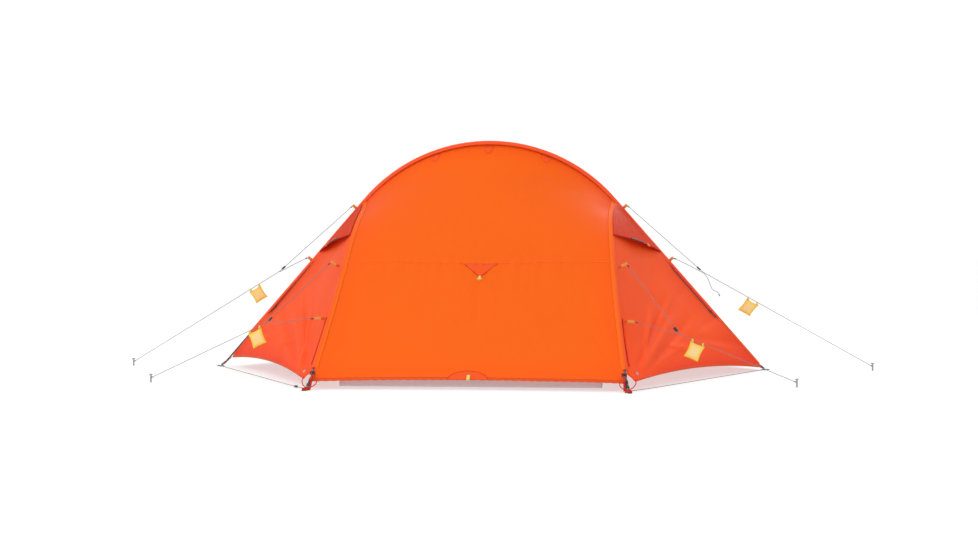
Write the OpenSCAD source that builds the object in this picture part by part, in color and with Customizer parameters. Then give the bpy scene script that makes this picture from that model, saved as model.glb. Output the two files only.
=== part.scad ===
// Two-person trekking tent on three flexible poles: a ridge pole across the width and two hoops
// under it. X runs along the ridge, Y along the sleepers, Z up, and the ground is z = 0.

/* [Poles] */
// Half the span of the ridge pole on the ground
ridge_half = 1377; // [1250:1:1500]
// Height of the ridge pole's centre
ridge_top = 1141; // [1050:1:1200]
// Half the span of each hoop on the ground
hoop_half = 1200; // [1100:1:1300]
// Half the distance between the two hoops where they cross the ridge
hoop_top_x = 645; // [600:1:680]
// Half the distance between the two hoops at their feet
hoop_foot_x = 694; // [660:1:740]
// How far the hoops are drawn together by the end panels
hoop_waist = 33; // [0:1:45]
// Radius of a bent pole's middle stretch
bend_r = 834; // [780:1:880]
// Diameter of the poles
pole_d = 9; // [8.5:0.1:10]

/* [Fly] */
// Thickness of every fabric panel
fabric = 3; // [2:0.5:4]
// Height of the fly's hem at the hoop feet
hem_corner = 35; // [20:1:60]
// Height of the front hem at its middle
hem_middle = 44; // [30:1:80]
// Distance from the middle at which the doors' hinge lines leave the ridge
door_top_x = 860; // [800:1:900]
// Share of an end panel above its cross seam
seam_share = 0.52; // [0.4:0.01:0.6]
// How far a vent hood's lip stands off the panel below it
hood_lift = 20; // [12:1:45]
// Width of the zip tape on the ridge's side of the zip
tape_w = 34; // [20:1:45]

/* [Lines] */
// Diameter of the guylines
guy_d = 2.6; // [2:0.1:3.5]
// Where the side guylines meet the ground, left and right
side_peg_x = [1835, 1907]; // [1700:1:2000]

/* [Inner tent] */
// Half the width of the inner tent
inner_half = 585; // [560:1:595]
// Size of the inner tent against the fly, along Y and up
inner_scale = 0.88; // [0.82:0.01:0.9]
// Height of the floor's side walls
tub_h = 70; // [50:1:100]
// Half the width of an inner door
inner_door_half = 320; // [260:1:340]
// Height of an inner door
inner_door_h = 480; // [400:1:500]

/* [Hidden] */

pole_r = pole_d / 2;
sleeve_in = 7;       // radius inside a pole sleeve
sleeve_out = 9;      // radius outside a pole sleeve
crossing_gap = 1;    // room between the two sleeves where the poles cross
plate_t = 3;         // thickness of a ground plate
tip_r = 5.5;
ferrule_length = 52;
edge = 12;           // distance from a pole's centreline to the edge of a fabric panel
hinge_gap = 4;       // distance from a door's hinge line to the fabric on each side of it
peg_hole_r = 5;
fly_corner = [[1314, 50], [1362, 17]];  // x and z of the doors' lower corners, left and right
sleeve_end_x = [1225, 1352];            // where the ridge sleeve ends, left and right

// Guylines, as routes from a tab to the ground: the main line, then the branch
side_junction = [1074, 489];
front_pegs = [[-1473, -900], [1436, -900]];
front_junctions = [[-965, -807, 269], [925, -858, 232]];
front_upper_tabs = [[-687, -653, 549], [691, -655, 542]];
front_lower_tabs = [[-717, -895, 296], [721, -901, 288]];
cord_end_z = 24;     // height at which a guyline is hooked on its peg
tail_route = [[1074, 0, 489], [1084, -4, 481], [1094, -7, 468], [1103, -8, 450], [1111, -7, 428],
  [1119, -5, 408], [1129, -4, 399], [1141, -4, 396], [1151, -4, 388], [1156, -4, 377]];
base_route = [[1386, -14, 7], [1360, -59, 5], [1300, -164, 5], [1180, -373, 5], [1060, -582, 5],
  [940, -792, 5], [820, -1001, 5], [757, -1111, 6], [724, -1168, 7], [712, -1186, 8]];

fly_colour = "orangered";
panel_colour = "darkorange";
sleeve_colour = "tomato";
black = [0.07, 0.07, 0.08];
cord_colour = [0.75, 0.75, 0.76];
tab_colour = "orange";
inner_colour = "gold";

// ---- Curves of the poles ----

// Angle at which a leg leaves the bend, so that it reaches the ground at half
function leg_angle(half, top) =
  let (drop = bend_r - top, d = sqrt(half * half + drop * drop))
  atan2(half, drop) - acos(bend_r / d);

// Height of a bent pole at distance d from its middle: an arc, then a straight leg
function pole_z(d, half, top) =
  let (a = leg_angle(half, top), bend_end = bend_r * sin(a))
  d < bend_end ? top - bend_r + sqrt(bend_r * bend_r - d * d)
    : top - bend_r * (1 - cos(a)) - (d - bend_end) * tan(a);

ridge_angle = leg_angle(ridge_half, ridge_top);
function ridge_z(x) = pole_z(abs(x), ridge_half, ridge_top);
hoop_top = ridge_z(hoop_top_x) - (2 * sleeve_out + crossing_gap) / cos(ridge_angle);
function hoop_z(y) = pole_z(abs(y), hoop_half, hoop_top);
function hoop_x(y) =
  let (t = abs(y) / hoop_half)
  hoop_top_x + (hoop_foot_x - hoop_top_x) * pow(t, 1.5) - hoop_waist * sin(180 * pow(t, 0.7));
function ridge_point(x) = [x, 0, ridge_z(x)];
function hoop_point(side, y) = [side * hoop_x(y), y, hoop_z(y)];

// Samples along the poles: close together in the bend, wide apart on the straight legs
function ridge_path(x_left, x_right) = [
  ridge_point(-x_left), ridge_point(-1000), ridge_point(-750),
  for (a = [-ridge_angle : ridge_angle / 8 : ridge_angle + 0.01]) ridge_point(bend_r * sin(a)),
  ridge_point(750), ridge_point(1000), ridge_point(x_right)];
function hoop_path(side, end_y) = [hoop_point(side, -end_y),
  for (i = [-13 : 13]) hoop_point(side, sign(i) * 1050 * pow(abs(i) / 13, 1.15)),
  hoop_point(side, end_y)];

// ---- Solids from points ----

function unit(v) = v / norm(v);

function ring(centre, along, across, r, sides) =
  let (u = unit(cross(along, across)), w = cross(along, u))
  [for (k = [0 : sides - 1])
    centre + r * (cos(360 * k / sides) * u + sin(360 * k / sides) * w)];

function tangent(path, i) =
  unit(path[min(i + 1, len(path) - 1)] - path[max(i - 1, 0)]);

function rings(path, across, r, sides) =
  [for (i = [0 : len(path) - 1]) each ring(path[i], tangent(path, i), across, r, sides)];

// A round tube swept along a path that never runs along across; bore > 0 makes it hollow
module tube(path, across, r, bore = 0, sides = 8) {
  n = len(path);
  outer = rings(path, across, r, sides);
  inner = bore > 0 ? rings(path, across, bore, sides) : [];
  m = n * sides;
  last = (n - 1) * sides;
  walls = [for (i = [0 : n - 2], k = [0 : sides - 1])
    let (a = i * sides + k, b = i * sides + (k + 1) % sides) each
    [[b, a, b + sides], [b + sides, a, a + sides]]];
  bore_walls = bore > 0 ? [for (f = walls) [f[2] + m, f[1] + m, f[0] + m]] : [];
  ends = bore > 0
    ? [for (k = [0 : sides - 1]) let (j = (k + 1) % sides) each
        [[m + k, k, m + j], [m + j, k, j],
         [last + j, last + k, m + last + j], [m + last + j, last + k, m + last + k]]]
    : [[for (k = [0 : sides - 1]) k], [for (k = [sides - 1 : -1 : 0]) last + k]];
  polyhedron(concat(outer, inner), concat(walls, bore_walls, ends), convexity = 8);
}

// A sheet between a grid of points and the same grid moved by shift
module sheet(grid, shift) {
  rows = len(grid);
  cols = len(grid[0]);
  face_points = [for (row = grid) each row];
  n = rows * cols;
  skin = [for (i = [0 : rows - 2], j = [0 : cols - 2])
    let (a = i * cols + j) each [[a, a + 1, a + cols + 1], [a, a + cols + 1, a + cols]]];
  border = concat([for (j = [0 : cols - 1]) j],
    [for (i = [1 : rows - 1]) i * cols + cols - 1],
    [for (j = [cols - 2 : -1 : 0]) (rows - 1) * cols + j],
    [for (i = [rows - 2 : -1 : 1]) i * cols]);
  m = len(border);
  rim = [for (k = [0 : m - 1]) let (a = border[k], b = border[(k + 1) % m]) each
    [[b, a, a + n], [b, a + n, b + n]]];
  back = [for (f = skin) [f[2] + n, f[1] + n, f[0] + n]];
  polyhedron(concat(face_points, [for (p = face_points) p + shift]),
    concat(skin, back, rim), convexity = 10);
}

// The same between a flat outline and its shifted copy
module plate(outline, shift) {
  n = len(outline);
  polyhedron(concat(outline, [for (p = outline) p + shift]),
    concat([[for (k = [0 : n - 1]) k], [for (k = [n - 1 : -1 : 0]) k + n]],
      [for (k = [0 : n - 1]) let (j = (k + 1) % n) [j, k, k + n, j + n]]), convexity = 4);
}

// Places children at a, with their +Z along a to b and their Y level
module aim(a, b) {
  v = b - a;
  translate(a) rotate([0, acos(v.z / norm(v)), atan2(v.y, v.x)]) children();
}

module rod(a, b, r) aim(a, b) cylinder(r = r, h = norm(b - a), $fn = 24);

module strap(a, b, w, t) aim(a, b) translate([-t / 2, -w / 2, 0]) cube([t, w, norm(b - a)]);

// Builds children once for a front piece, or mirrored for a rear one
module front_or_rear(rear) { if (rear) mirror([0, 1, 0]) children(); else children(); }

// ---- Surfaces of the fly ----

step_share = 0.15;  // share of an end panel in which it comes down from the ridge to the hoops
function hem_y(u) = -(hoop_half - hem_corner) + 26 * (1 - u * u);
function hem_z(u) = hem_corner + (hem_middle - hem_corner) * (1 - u * u);

// A point of the front panel: u from -1 at the left hoop to 1 at the right, v from ridge to hem
function end_panel_point(u, v) =
  let (x_top = u * (hoop_top_x - edge), x_hem = u * (hoop_foot_x - edge - 2),
       side_z = hoop_z(hoop_half - hem_corner),
       corner = [hoop_top_x, 0, hoop_top],
       foot = [hoop_x(hoop_half - hem_corner), -(hoop_half - hem_corner), side_z],
       y_side = -v * (hoop_half - hem_corner),
       bulge = hoop_point(1, y_side) - ((1 - v) * corner + v * foot),
       share = 0.15 + 0.85 * u * u,
       step = ridge_z(hoop_top_x - edge) - hoop_top - 3,
       crown = ridge_z(x_top) - ridge_z(hoop_top_x - edge))
  [(1 - v) * x_top + v * x_hem + u * bulge.x,
   min(-edge, v * hem_y(u) + share * bulge.y),
   (1 - v) * hoop_top + v * hem_z(u) + crown * pow(1 - v, 1.3) + share * bulge.z
     + step * pow(max(0, 1 - v / step_share), 2)];

module end_panel(v_from, v_to, rows, crowd = 1) color(panel_colour)
  sheet([for (i = [0 : rows]) [for (j = [-7 : 7])
    end_panel_point(j / 7, v_from + (v_to - v_from) * pow(i / rows, crowd))]],
    [0, 0.5, -0.87] * fabric);

// Corner points of a side: the hinge line runs from the ridge to the hoop's foot
function side_index(side) = side < 0 ? 0 : 1;
function hinge_top(side) = [side * door_top_x, -edge, ridge_z(door_top_x)];
function hinge_foot(side) =
  [side * (hoop_foot_x + edge + 4), -(hoop_half - hem_corner - 6), hem_corner + 2];
function door_corner(side) =
  [side * fly_corner[side_index(side)][0], -edge, fly_corner[side_index(side)][1]];
function door_normal(side) =
  side * unit(cross(hinge_foot(side) - hinge_top(side), door_corner(side) - hinge_top(side)));
function hinge_out(side) =  // in the door's plane, from the hinge line towards the zip
  let (along = unit(hinge_foot(side) - hinge_top(side)), w = door_corner(side) - hinge_top(side))
  unit(w - (w * along) * along);

// The fixed panel is ruled between the hinge line and the hoop
function side_panel_point(side, across, v) =
  let (hinge = hinge_top(side) + v * (hinge_foot(side) - hinge_top(side)) - hinge_gap * hinge_out(side),
       hoop = hoop_point(side, -edge - v * (hoop_half - hem_corner - 2 * edge)))
  (1 - across) * hinge + across * (hoop + [side * edge, 0, -2]);

module side_panel(side) color(fly_colour) {
  grid = [for (i = [0 : 9]) [for (j = [0 : 4]) side_panel_point(side, j / 4, 0.95 * i / 9)]];
  sheet(side < 0 ? grid : [for (row = grid) [for (j = [4 : -1 : 0]) row[j]]],
    -fabric * door_normal(side));
}

// Flat door: hinge line, zip edge, and a hem that curves up between its corners
door_hem_rise = 45;
function door_hem(side, s) =
  let (a = hinge_foot(side) + hinge_gap * hinge_out(side), b = door_zip_foot(side),
       up = unit(hinge_top(side) - (a + b) / 2))
  a + s * (b - a) + door_hem_rise * 4 * s * (1 - s) * up;
function zip_in(side) =  // in the door's plane, from the zip towards the hinge line
  let (along = unit(door_corner(side) - hinge_top(side)), w = hinge_foot(side) - hinge_top(side))
  unit(w - (w * along) * along);
function door_zip_top(side) = hinge_top(side) + (tape_w + 2) * zip_in(side)
  + 0.05 * (door_corner(side) - hinge_top(side));
function door_zip_foot(side) = door_corner(side) + (tape_w + 2) * zip_in(side);

module door(side) color(fly_colour) {
  top = door_zip_top(side);
  outline = concat([top, door_zip_foot(side)],
    [for (i = [9 : -1 : 0]) door_hem(side, i / 10)],
    [hinge_top(side) + 0.09 * (hinge_foot(side) - hinge_top(side)) + hinge_gap * hinge_out(side)]);
  n = len(outline);
  plate(side < 0 ? [for (i = [n - 1 : -1 : 0]) outline[i]] : outline, -fabric * door_normal(side));
}

// Vent hood: sewn to the ridge and the hoop over the top of a side panel, with a lip that stands off
hood_reach = 0.385;  // how far down the hoop the hood reaches
function hood_point(side, across, down) =
  let (leg = hinge_top(side) - [side * hoop_top_x, -edge, ridge_z(hoop_top_x)],
       ridge_edge = [side * (hoop_top_x + 30), -edge - 8, ridge_z(hoop_top_x + 30)]
         + down * leg * 0.86,
       hoop_edge = hoop_point(side, -40 - down * (hood_reach * hoop_half - 40)))
  (1 - across) * ridge_edge + across * (hoop_edge + [side * (edge + 4), 0, 2])
    + (7 + hood_lift * down * down * 4 * across * (1 - across)) * door_normal(side);

module vent_hood(side) color("firebrick") {
  grid = [for (i = [0 : 5]) [for (j = [0 : 6]) hood_point(side, j / 6, 0.12 + 0.88 * i / 5)]];
  sheet(side < 0 ? grid : [for (row = grid) [for (j = [6 : -1 : 0]) row[j]]],
    -fabric * door_normal(side));
}

module hood_stay(side) color(black) {
  lift = 6.5 * door_normal(side);
  rod(hood_point(side, 0.45, 1) + lift, hood_point(side, 0.78, 1) + lift, 2);
}

// ---- Zips: tape and chain beside the ridge sleeve ----

function zip_point(side, s, offset) =
  hinge_top(side) + s * (door_corner(side) - hinge_top(side)) + offset * zip_in(side);
zip_from = 0.1;
zip_to = 0.97;
slider_at = 0.5;

module zip_tape(side) color("darkred") {
  outline = [zip_point(side, zip_from, 1), zip_point(side, zip_to, 1),
    zip_point(side, zip_to, tape_w), zip_point(side, zip_from, tape_w)];
  plate(side < 0 ? [outline[3], outline[2], outline[1], outline[0]] : outline,
    -fabric / 2 * door_normal(side));
}

module zip_chain(side) color(black) {
  lift = 1.2 * door_normal(side);
  strap(zip_point(side, zip_from + 0.02, tape_w - 6) + lift,
    zip_point(side, zip_to - 0.02, tape_w - 6) + lift, 1.8, 1.8);
}

// The slider rides over the chain, with its pull lying down the slope
module zip_slider(side) color(black) {
  n = door_normal(side);
  a = zip_point(side, slider_at, tape_w - 6);
  b = zip_point(side, slider_at + 0.018, tape_w - 6);
  strap(a + 4.4 * n, b + 4.4 * n, 9, 3);
  strap(b + 5 * n + 0.02 * (b - a), b + 5 * n + 2.4 * (b - a), 6, 1.6);
}

// ---- Patches and tabs ----

module ridge_patch(x, w) color("brown")
  sheet([for (i = [0 : 2]) [for (j = [-2 : 2])
    end_panel_point((x + j * w / 4) / (hoop_top_x - edge), 0.02 + 0.012 * i) + [0, -2, 6]]],
    [0, 0, -1]);

module patches() {
  for (x = [-270, 0, 290]) ridge_patch(x, 64);
  color("chocolate") sheet([for (i = [0 : 2]) [for (j = [-2 : 2])
    end_panel_point(0.018 + j * 0.055 * (1 - i * 0.42), seam_share + 0.012 + 0.02 * i)
      + [0, -1.6, 2.4]]], [0, 0.2, -1]);
  color("chocolate") sheet([for (i = [0 : 3]) [for (j = [-3 : 3])
    end_panel_point(0.01 + j * 0.036 * sin(38 + 17 * i), 0.968 + 0.0105 * i)
      + [0, -2, 1.6]]], [0, 0.6, -0.8]);
}

module fly_tab(root, tip) color(tab_colour) strap(root, tip, 2, 10);

module side_tabs(side) {
  out = [side * sin(ridge_angle), 0, cos(ridge_angle)];
  for (x = [672, 903]) let (p = ridge_point(side * x))
    fly_tab(p + (sleeve_out + 0.4) * out, p + 27 * out);
}

module front_tabs(i) {
  side = i == 0 ? -1 : 1;
  for (tip = [front_upper_tabs[i], front_lower_tabs[i]]) let (p = hoop_point(side, tip.y + 10))
    fly_tab(p + 9 * door_normal(side) + 8 * unit(tip - p), tip);
  lift = 3 * door_normal(side);
  a = hood_point(side, 0.31, 0.96) + lift;
  color(tab_colour)
    strap(a, a + 20 * unit(hood_point(side, 0.31, 1) - hood_point(side, 0.31, 0.8)) + lift, 14, 2);
}

// ---- Ground fittings ----

// Every pole end as [point on the ground, direction of its peg hole]: the ridge's peg holes stay
// clear of the guylines above them
hoop_feet = [for (side = [-1, 1], end = [-1, 1])
  [[side * hoop_foot_x, end * hoop_half, 0], [side * 0.35, end, 0]]];
ridge_feet = [for (side = [-1, 1]) [[side * ridge_half, 0, 0], [side, 0.9, 0]]];
peg_hole_out = 30;  // from a pole's foot to its peg hole

module ground_plate(foot) color(black)
  translate(foot[0]) rotate(atan2(foot[1].y, foot[1].x)) difference() {
    linear_extrude(plate_t) union() {
      circle(r = 13, $fn = 40);
      translate([0, -9]) square([peg_hole_out, 18]);
      translate([peg_hole_out, 0]) circle(r = 10, $fn = 40);
    }
    translate([peg_hole_out, 0, -1]) cylinder(r = peg_hole_r, h = plate_t + 2, $fn = 40);
  }

tip_length = 34;
module pole_tip(foot, from) color(black) {
  end = foot + [0, 0, plate_t + tip_r + 0.3];
  aim(from, end) cylinder(r = tip_r, h = norm(end - from), $fn = 24);
  aim(end, 2 * end - from) cylinder(r1 = tip_r, r2 = 3, h = 4, $fn = 24);
}

// Pole ends stop one tip length above the ground
ridge_end_x = ridge_half - tip_length * cos(ridge_angle);
hoop_end_y = hoop_half - tip_length * 0.72;

// Buckle: a ring round two slots, held on the strap above the foot
module buckle(at, along) color(black) aim(at, at + along) difference() {
  translate([-2, -12, -9]) cube([4, 24, 18]);
  for (z = [-5.5, 1.5]) translate([-3, -8.5, z]) cube([6, 17, 4]);
}

// Strap from the fly's corner down to the ground plate, over the buckle
module foot_strap(corner, foot) color("orangered") strap(corner, foot, 16, 1.6);

function foot_corner(side, end) =
  [side * (hoop_x(hoop_half - 90) - 4), end * (hoop_half - 62), 84];
function foot_strap_end(side, end) =
  [side * (hoop_foot_x - 14), end * (hoop_half + 16), plate_t + 4];

// ---- Lines ----

function peg_point(p) = [p.x, p.y, cord_end_z];
function on_line(a, b, s) = a + s * unit(b - a);

// A main guyline passes its junction in a short bend and runs straight to its peg
function guy_route(top, junction, peg) = [top, (top + junction) / 2, on_line(junction, top, 14),
  (2 * junction + on_line(junction, top, 5) + on_line(junction, peg, 5)) / 4,
  on_line(junction, peg, 14), (junction + peg) / 2, peg];

function side_tab_end(side, x) =
  ridge_point(side * x) + 29 * [side * sin(ridge_angle), 0, cos(ridge_angle)];
function side_junction_at(side) = [side * side_junction.x, 0, side_junction.y];
function side_peg(side) = [side * side_peg_x[side_index(side)], 0, cord_end_z];

module guyline(route, across = [0, 1, 0]) color(cord_colour) tube(route, across, guy_d / 2);

module side_guy(side)
  guyline(guy_route(side_tab_end(side, 672), side_junction_at(side), side_peg(side)));
module front_guy(i) guyline(guy_route(on_line(front_upper_tabs[i], front_junctions[i], 4),
  front_junctions[i], peg_point(front_pegs[i])));

function base_cord_route(side) = [for (p = base_route) [side * p.x, p.y, p.z]];

// A branch ends beside the main line at the junction
branch_drop = [0, 0, -3];
function branch_route(top, junction) =
  [top, (top + junction) / 2, on_line(junction, top, 12) + branch_drop, junction + branch_drop];

// Line tensioner: a small block bored for the line, at rest just above the junction
module tensioner(top, junction) color(black) {
  a = on_line(junction, top, 16);
  aim(a, a + unit(top - junction)) difference() {
    union() {
      translate([-4, -6, 0]) cube([8, 12, 22]);
      translate([-4, -8, 3]) cube([8, 16, 4]);
    }
    translate([0, 0, -1]) cylinder(r = guy_d / 2 + 0.5, h = 24, $fn = 24);
    translate([-5, -2.2, 12]) cube([10, 4.4, 5]);
  }
}

// Storage pouch: a thin bag hung under the line by two corner tabs
pouch_w = 66;
pouch_h = 78;
module pouch(junction, peg, from, tilt) color("khaki") {
  a = on_line(junction, peg, from);
  b = on_line(junction, peg, from + pouch_w);
  top = [0, 0, -12];
  bottom = top + pouch_h * ([0, 0, -1] + tilt * unit(peg - junction));
  outline = [a + top, b + top, b + bottom, a + bottom];
  plate(peg.x < junction.x ? [outline[3], outline[2], outline[1], outline[0]] : outline, [0, 3, 0]);
  for (p = [on_line(a, b, 8), on_line(a, b, pouch_w - 8)])
    translate(p + [-3, -1, -12]) cube([6, 1.6, 12 - guy_d / 2 - 3.6]);
}

// Head of a ground peg, from the ground up
module peg(at) color("silver") translate(at) {
  cylinder(r = 4, h = 34, $fn = 32);
  translate([0, 0, 34]) cylinder(r = 8, h = 5, $fn = 32);
}

// ---- Inner tent ----

function inner_z(y) = inner_scale * hoop_z(y / inner_scale);
inner_length = inner_scale * (hoop_half - hem_corner);

module inner_floor() color("dimgray") difference() {
  translate([-inner_half, -inner_length, 0]) cube([2 * inner_half, 2 * inner_length, tub_h]);
  translate([-inner_half + fabric, -inner_length + fabric, fabric])
    cube([2 * (inner_half - fabric), 2 * (inner_length - fabric), tub_h]);
}

// Outline of an inner door: straight sides and an arched top
module door_outline(grow) {
  r = inner_door_half;
  straight = inner_door_h - r;
  translate([-r - grow, -grow]) square([2 * (r + grow), straight + grow]);
  translate([0, straight]) intersection() {
    circle(r = r + grow, $fn = 64);
    translate([-r - grow, 0]) square([2 * (r + grow), r + grow]);
  }
}

module inner_wall_outline() polygon(concat([[-inner_length + 12, 0]],
  [for (i = [-12 : 12]) let (y = i * (inner_length - 80) / 12) [y, inner_z(y) - tub_h - 16]],
  [[inner_length - 12, 0]]));

module upright(side, x, z) translate([side * x - (side < 0 ? 0 : fabric), 0, z])
  rotate([90, 0, 90]) linear_extrude(fabric) children();

module inner_walls() color(inner_colour) for (side = [-1, 1])
  upright(side, inner_half, tub_h + 2) difference() {
    inner_wall_outline();
    translate([0, 14]) door_outline(4);
  }

module inner_door(side) color("khaki") upright(side, inner_half, tub_h + 16) door_outline(0);

function inner_point(u, v) = let (p = end_panel_point(u * 0.97, v))
  [u * inner_half, inner_scale * p.y, inner_scale * p.z + 3];

module inner_canopy() color(inner_colour) {
  front = [for (i = [9 : -1 : 0]) [for (j = [4 : -1 : -4]) inner_point(j / 4, 0.945 * i / 9)]];
  rear = [for (i = [0 : 9]) [for (j = [4 : -1 : -4]) let (p = inner_point(j / 4, 0.945 * i / 9))
    [p.x, -p.y, p.z]]];
  sheet(concat(front, rear), [0, 0, -2]);
}

module inner_hangers() color(black) for (x = [-400, -200, 0, 200, 400]) {
  top = ridge_z(x) - sleeve_out - 4;
  bottom = inner_scale * ridge_z(x) + 8;
  translate([x, 0, bottom]) cylinder(r = 1.5, h = top - bottom, $fn = 16);
  translate([x, 0, bottom + 20]) cylinder(r = 4, h = 10, $fn = 24);
}

// ---- Poles, sleeves and joints ----

// A ferrule sits at the middle of one stretch of a pole's path
module ferrules() color("silver") {
  ridge = ridge_path(ridge_end_x, ridge_end_x);
  for (i = [1, 5, 9, 12, 16, 20]) ferrule(ridge[i], ridge[i + 1]);
  for (side = [-1, 1]) {
    hoop = hoop_path(side, hoop_end_y);
    for (i = [4, 9, 18, 23]) ferrule(hoop[i], hoop[i + 1]);
  }
}

module ferrule(a, b) aim((a + b) / 2 - ferrule_length / 2 * unit(b - a), b) difference() {
  cylinder(r = 6, h = ferrule_length, $fn = 32);
  translate([0, 0, -1]) cylinder(r = pole_r + 0.6, h = ferrule_length + 2, $fn = 32);
}

module base_tensioner() color(black) {
  a = base_cord_route(-1)[7];
  b = base_cord_route(-1)[6];
  aim(a, b) translate([0, 0, 4]) difference() {
    translate([-4, -5, 0]) cube([8, 10, 26]);
    translate([0, 0, -1]) cylinder(r = guy_d / 2 + 0.5, h = 28, $fn = 24);
  }
}

color("gray")  // ridge_pole
  tube(ridge_path(ridge_end_x, ridge_end_x), [0, 1, 0], pole_r);
color("gray")  // hoop_pole_left
  tube(hoop_path(-1, hoop_end_y), [1, 0, 0], pole_r);
color("gray")  // hoop_pole_right
  tube(hoop_path(1, hoop_end_y), [1, 0, 0], pole_r);
ferrules();  // pole_ferrules
union() {  // pole_tips
  for (f = hoop_feet)
    pole_tip(f[0], hoop_point(sign(f[0].x), sign(f[0].y) * (hoop_end_y + 1.6)));
  for (f = ridge_feet) pole_tip(f[0], ridge_point(sign(f[0].x) * (ridge_end_x + 1.6)));
}
color(sleeve_colour)  // ridge_sleeve
  tube(ridge_path(sleeve_end_x[0], sleeve_end_x[1]), [0, 1, 0], sleeve_out, sleeve_in);
color(sleeve_colour)  // hoop_sleeve_left
  tube(hoop_path(-1, hoop_half - 95), [1, 0, 0], sleeve_out, sleeve_in);
color(sleeve_colour)  // hoop_sleeve_right
  tube(hoop_path(1, hoop_half - 95), [1, 0, 0], sleeve_out, sleeve_in);

end_panel(0, seam_share, 8, 1.6);  // front_panel_upper
end_panel(seam_share + 0.0006, 1, 7);  // front_panel_lower
front_or_rear(true) end_panel(0, seam_share, 8, 1.6);  // rear_panel_upper
front_or_rear(true) end_panel(seam_share + 0.0006, 1, 7);  // rear_panel_lower

side_panel(-1);  // side_panel_fl
side_panel(1);  // side_panel_fr
front_or_rear(true) side_panel(-1);  // side_panel_rl
front_or_rear(true) side_panel(1);  // side_panel_rr
door(-1);  // door_fl
door(1);  // door_fr
front_or_rear(true) door(-1);  // door_rl
front_or_rear(true) door(1);  // door_rr
vent_hood(-1);  // vent_hood_fl
vent_hood(1);  // vent_hood_fr
front_or_rear(true) vent_hood(-1);  // vent_hood_rl
front_or_rear(true) vent_hood(1);  // vent_hood_rr
for (side = [-1, 1], rear = [false, true]) front_or_rear(rear) hood_stay(side);  // hood_stays
for (side = [-1, 1], rear = [false, true]) front_or_rear(rear) zip_tape(side);  // zip_tapes
for (side = [-1, 1], rear = [false, true]) front_or_rear(rear) zip_chain(side);  // zip_chains
zip_slider(-1);  // zip_slider_fl
zip_slider(1);  // zip_slider_fr
front_or_rear(true) zip_slider(-1);  // zip_slider_rl
front_or_rear(true) zip_slider(1);  // zip_slider_rr

for (rear = [false, true]) front_or_rear(rear) patches();  // reinforcement_patches
union() {  // webbing_tabs
  for (side = [-1, 1]) side_tabs(side);
  for (i = [0, 1]) front_tabs(i);
}
union() {  // ground_plates
  for (f = hoop_feet) ground_plate(f);
  for (f = ridge_feet) ground_plate(f);
}
for (side = [-1, 1], end = [-1, 1])  // foot_buckles
    let (a = foot_corner(side, end), b = foot_strap_end(side, end))
    buckle(on_line(a, b, 22) + [0, end * 2.6, 2.6], unit(b - a));
for (side = [-1, 1], end = [-1, 1]) foot_strap(foot_corner(side, end), foot_strap_end(side, end));  // foot_straps

side_guy(-1);  // guy_side_left
side_guy(1);  // guy_side_right
front_guy(0);  // guy_front_left
front_guy(1);  // guy_front_right
guyline(branch_route(side_tab_end(-1, 903), side_junction_at(-1)));  // guy_side_left_branch
union() {  // guy_side_right_branch
  route = branch_route(side_tab_end(1, 903), side_junction_at(1));
  guyline(concat([for (i = [0 : 2]) route[i]], [for (p = tail_route) p + branch_drop]));
}
guyline(branch_route(on_line(front_lower_tabs[0], front_junctions[0], 4), front_junctions[0]));  // guy_front_left_branch
guyline(branch_route(on_line(front_lower_tabs[1], front_junctions[1], 4), front_junctions[1]));  // guy_front_right_branch
guyline(base_cord_route(-1), [0, 0, 1]);  // base_cord_left
guyline(base_cord_route(1), [0, 0, 1]);  // base_cord_right
tensioner(side_tab_end(-1, 672), side_junction_at(-1));  // tensioner_side_left
tensioner(side_tab_end(1, 672), side_junction_at(1));  // tensioner_side_right
tensioner(front_upper_tabs[0], front_junctions[0]);  // tensioner_front_left
tensioner(front_upper_tabs[1], front_junctions[1]);  // tensioner_front_right
base_tensioner();
union() {  // guyline_pouches
  pouch(side_junction_at(-1), side_peg(-1), 118, -0.53);
  pouch(side_junction_at(1), side_peg(1), 250, -0.63);
  pouch(front_junctions[0], peg_point(front_pegs[0]), 24, -0.34);
  pouch(front_junctions[1], peg_point(front_pegs[1]), 56, -0.42);
}
union() {  // ground_pegs
  for (side = [-1, 1]) peg([side * (side_peg_x[side_index(side)] + 6), 0, 0]);
  for (p = front_pegs) peg([p.x + sign(p.x) * 6, p.y, 0]);
}

inner_floor();
inner_canopy();
inner_walls();
inner_door(-1);  // inner_door_left
inner_door(1);  // inner_door_right
inner_hangers();
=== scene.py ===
"""Looks of a low two-person trekking tent with a ridge pole and two hoops, round its CAD frame."""
import math

import bmesh
import bpy
import numpy as np
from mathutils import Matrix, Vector


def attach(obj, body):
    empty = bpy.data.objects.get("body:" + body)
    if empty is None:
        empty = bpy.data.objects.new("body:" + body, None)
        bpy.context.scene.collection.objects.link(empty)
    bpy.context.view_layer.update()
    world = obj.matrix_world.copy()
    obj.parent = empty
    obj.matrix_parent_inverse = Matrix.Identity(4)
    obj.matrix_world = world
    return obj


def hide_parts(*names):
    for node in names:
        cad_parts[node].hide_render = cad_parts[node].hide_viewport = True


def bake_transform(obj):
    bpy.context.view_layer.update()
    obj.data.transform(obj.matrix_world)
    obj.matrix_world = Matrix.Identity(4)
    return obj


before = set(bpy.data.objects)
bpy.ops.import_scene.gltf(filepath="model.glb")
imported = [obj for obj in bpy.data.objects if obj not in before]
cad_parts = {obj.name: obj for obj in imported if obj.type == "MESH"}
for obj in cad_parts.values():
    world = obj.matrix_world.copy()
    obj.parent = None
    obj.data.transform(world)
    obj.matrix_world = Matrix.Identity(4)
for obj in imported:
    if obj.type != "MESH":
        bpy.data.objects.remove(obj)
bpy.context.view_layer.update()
scene = bpy.context.scene
WORDS = ((-1, "left"), (1, "right"))
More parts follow.
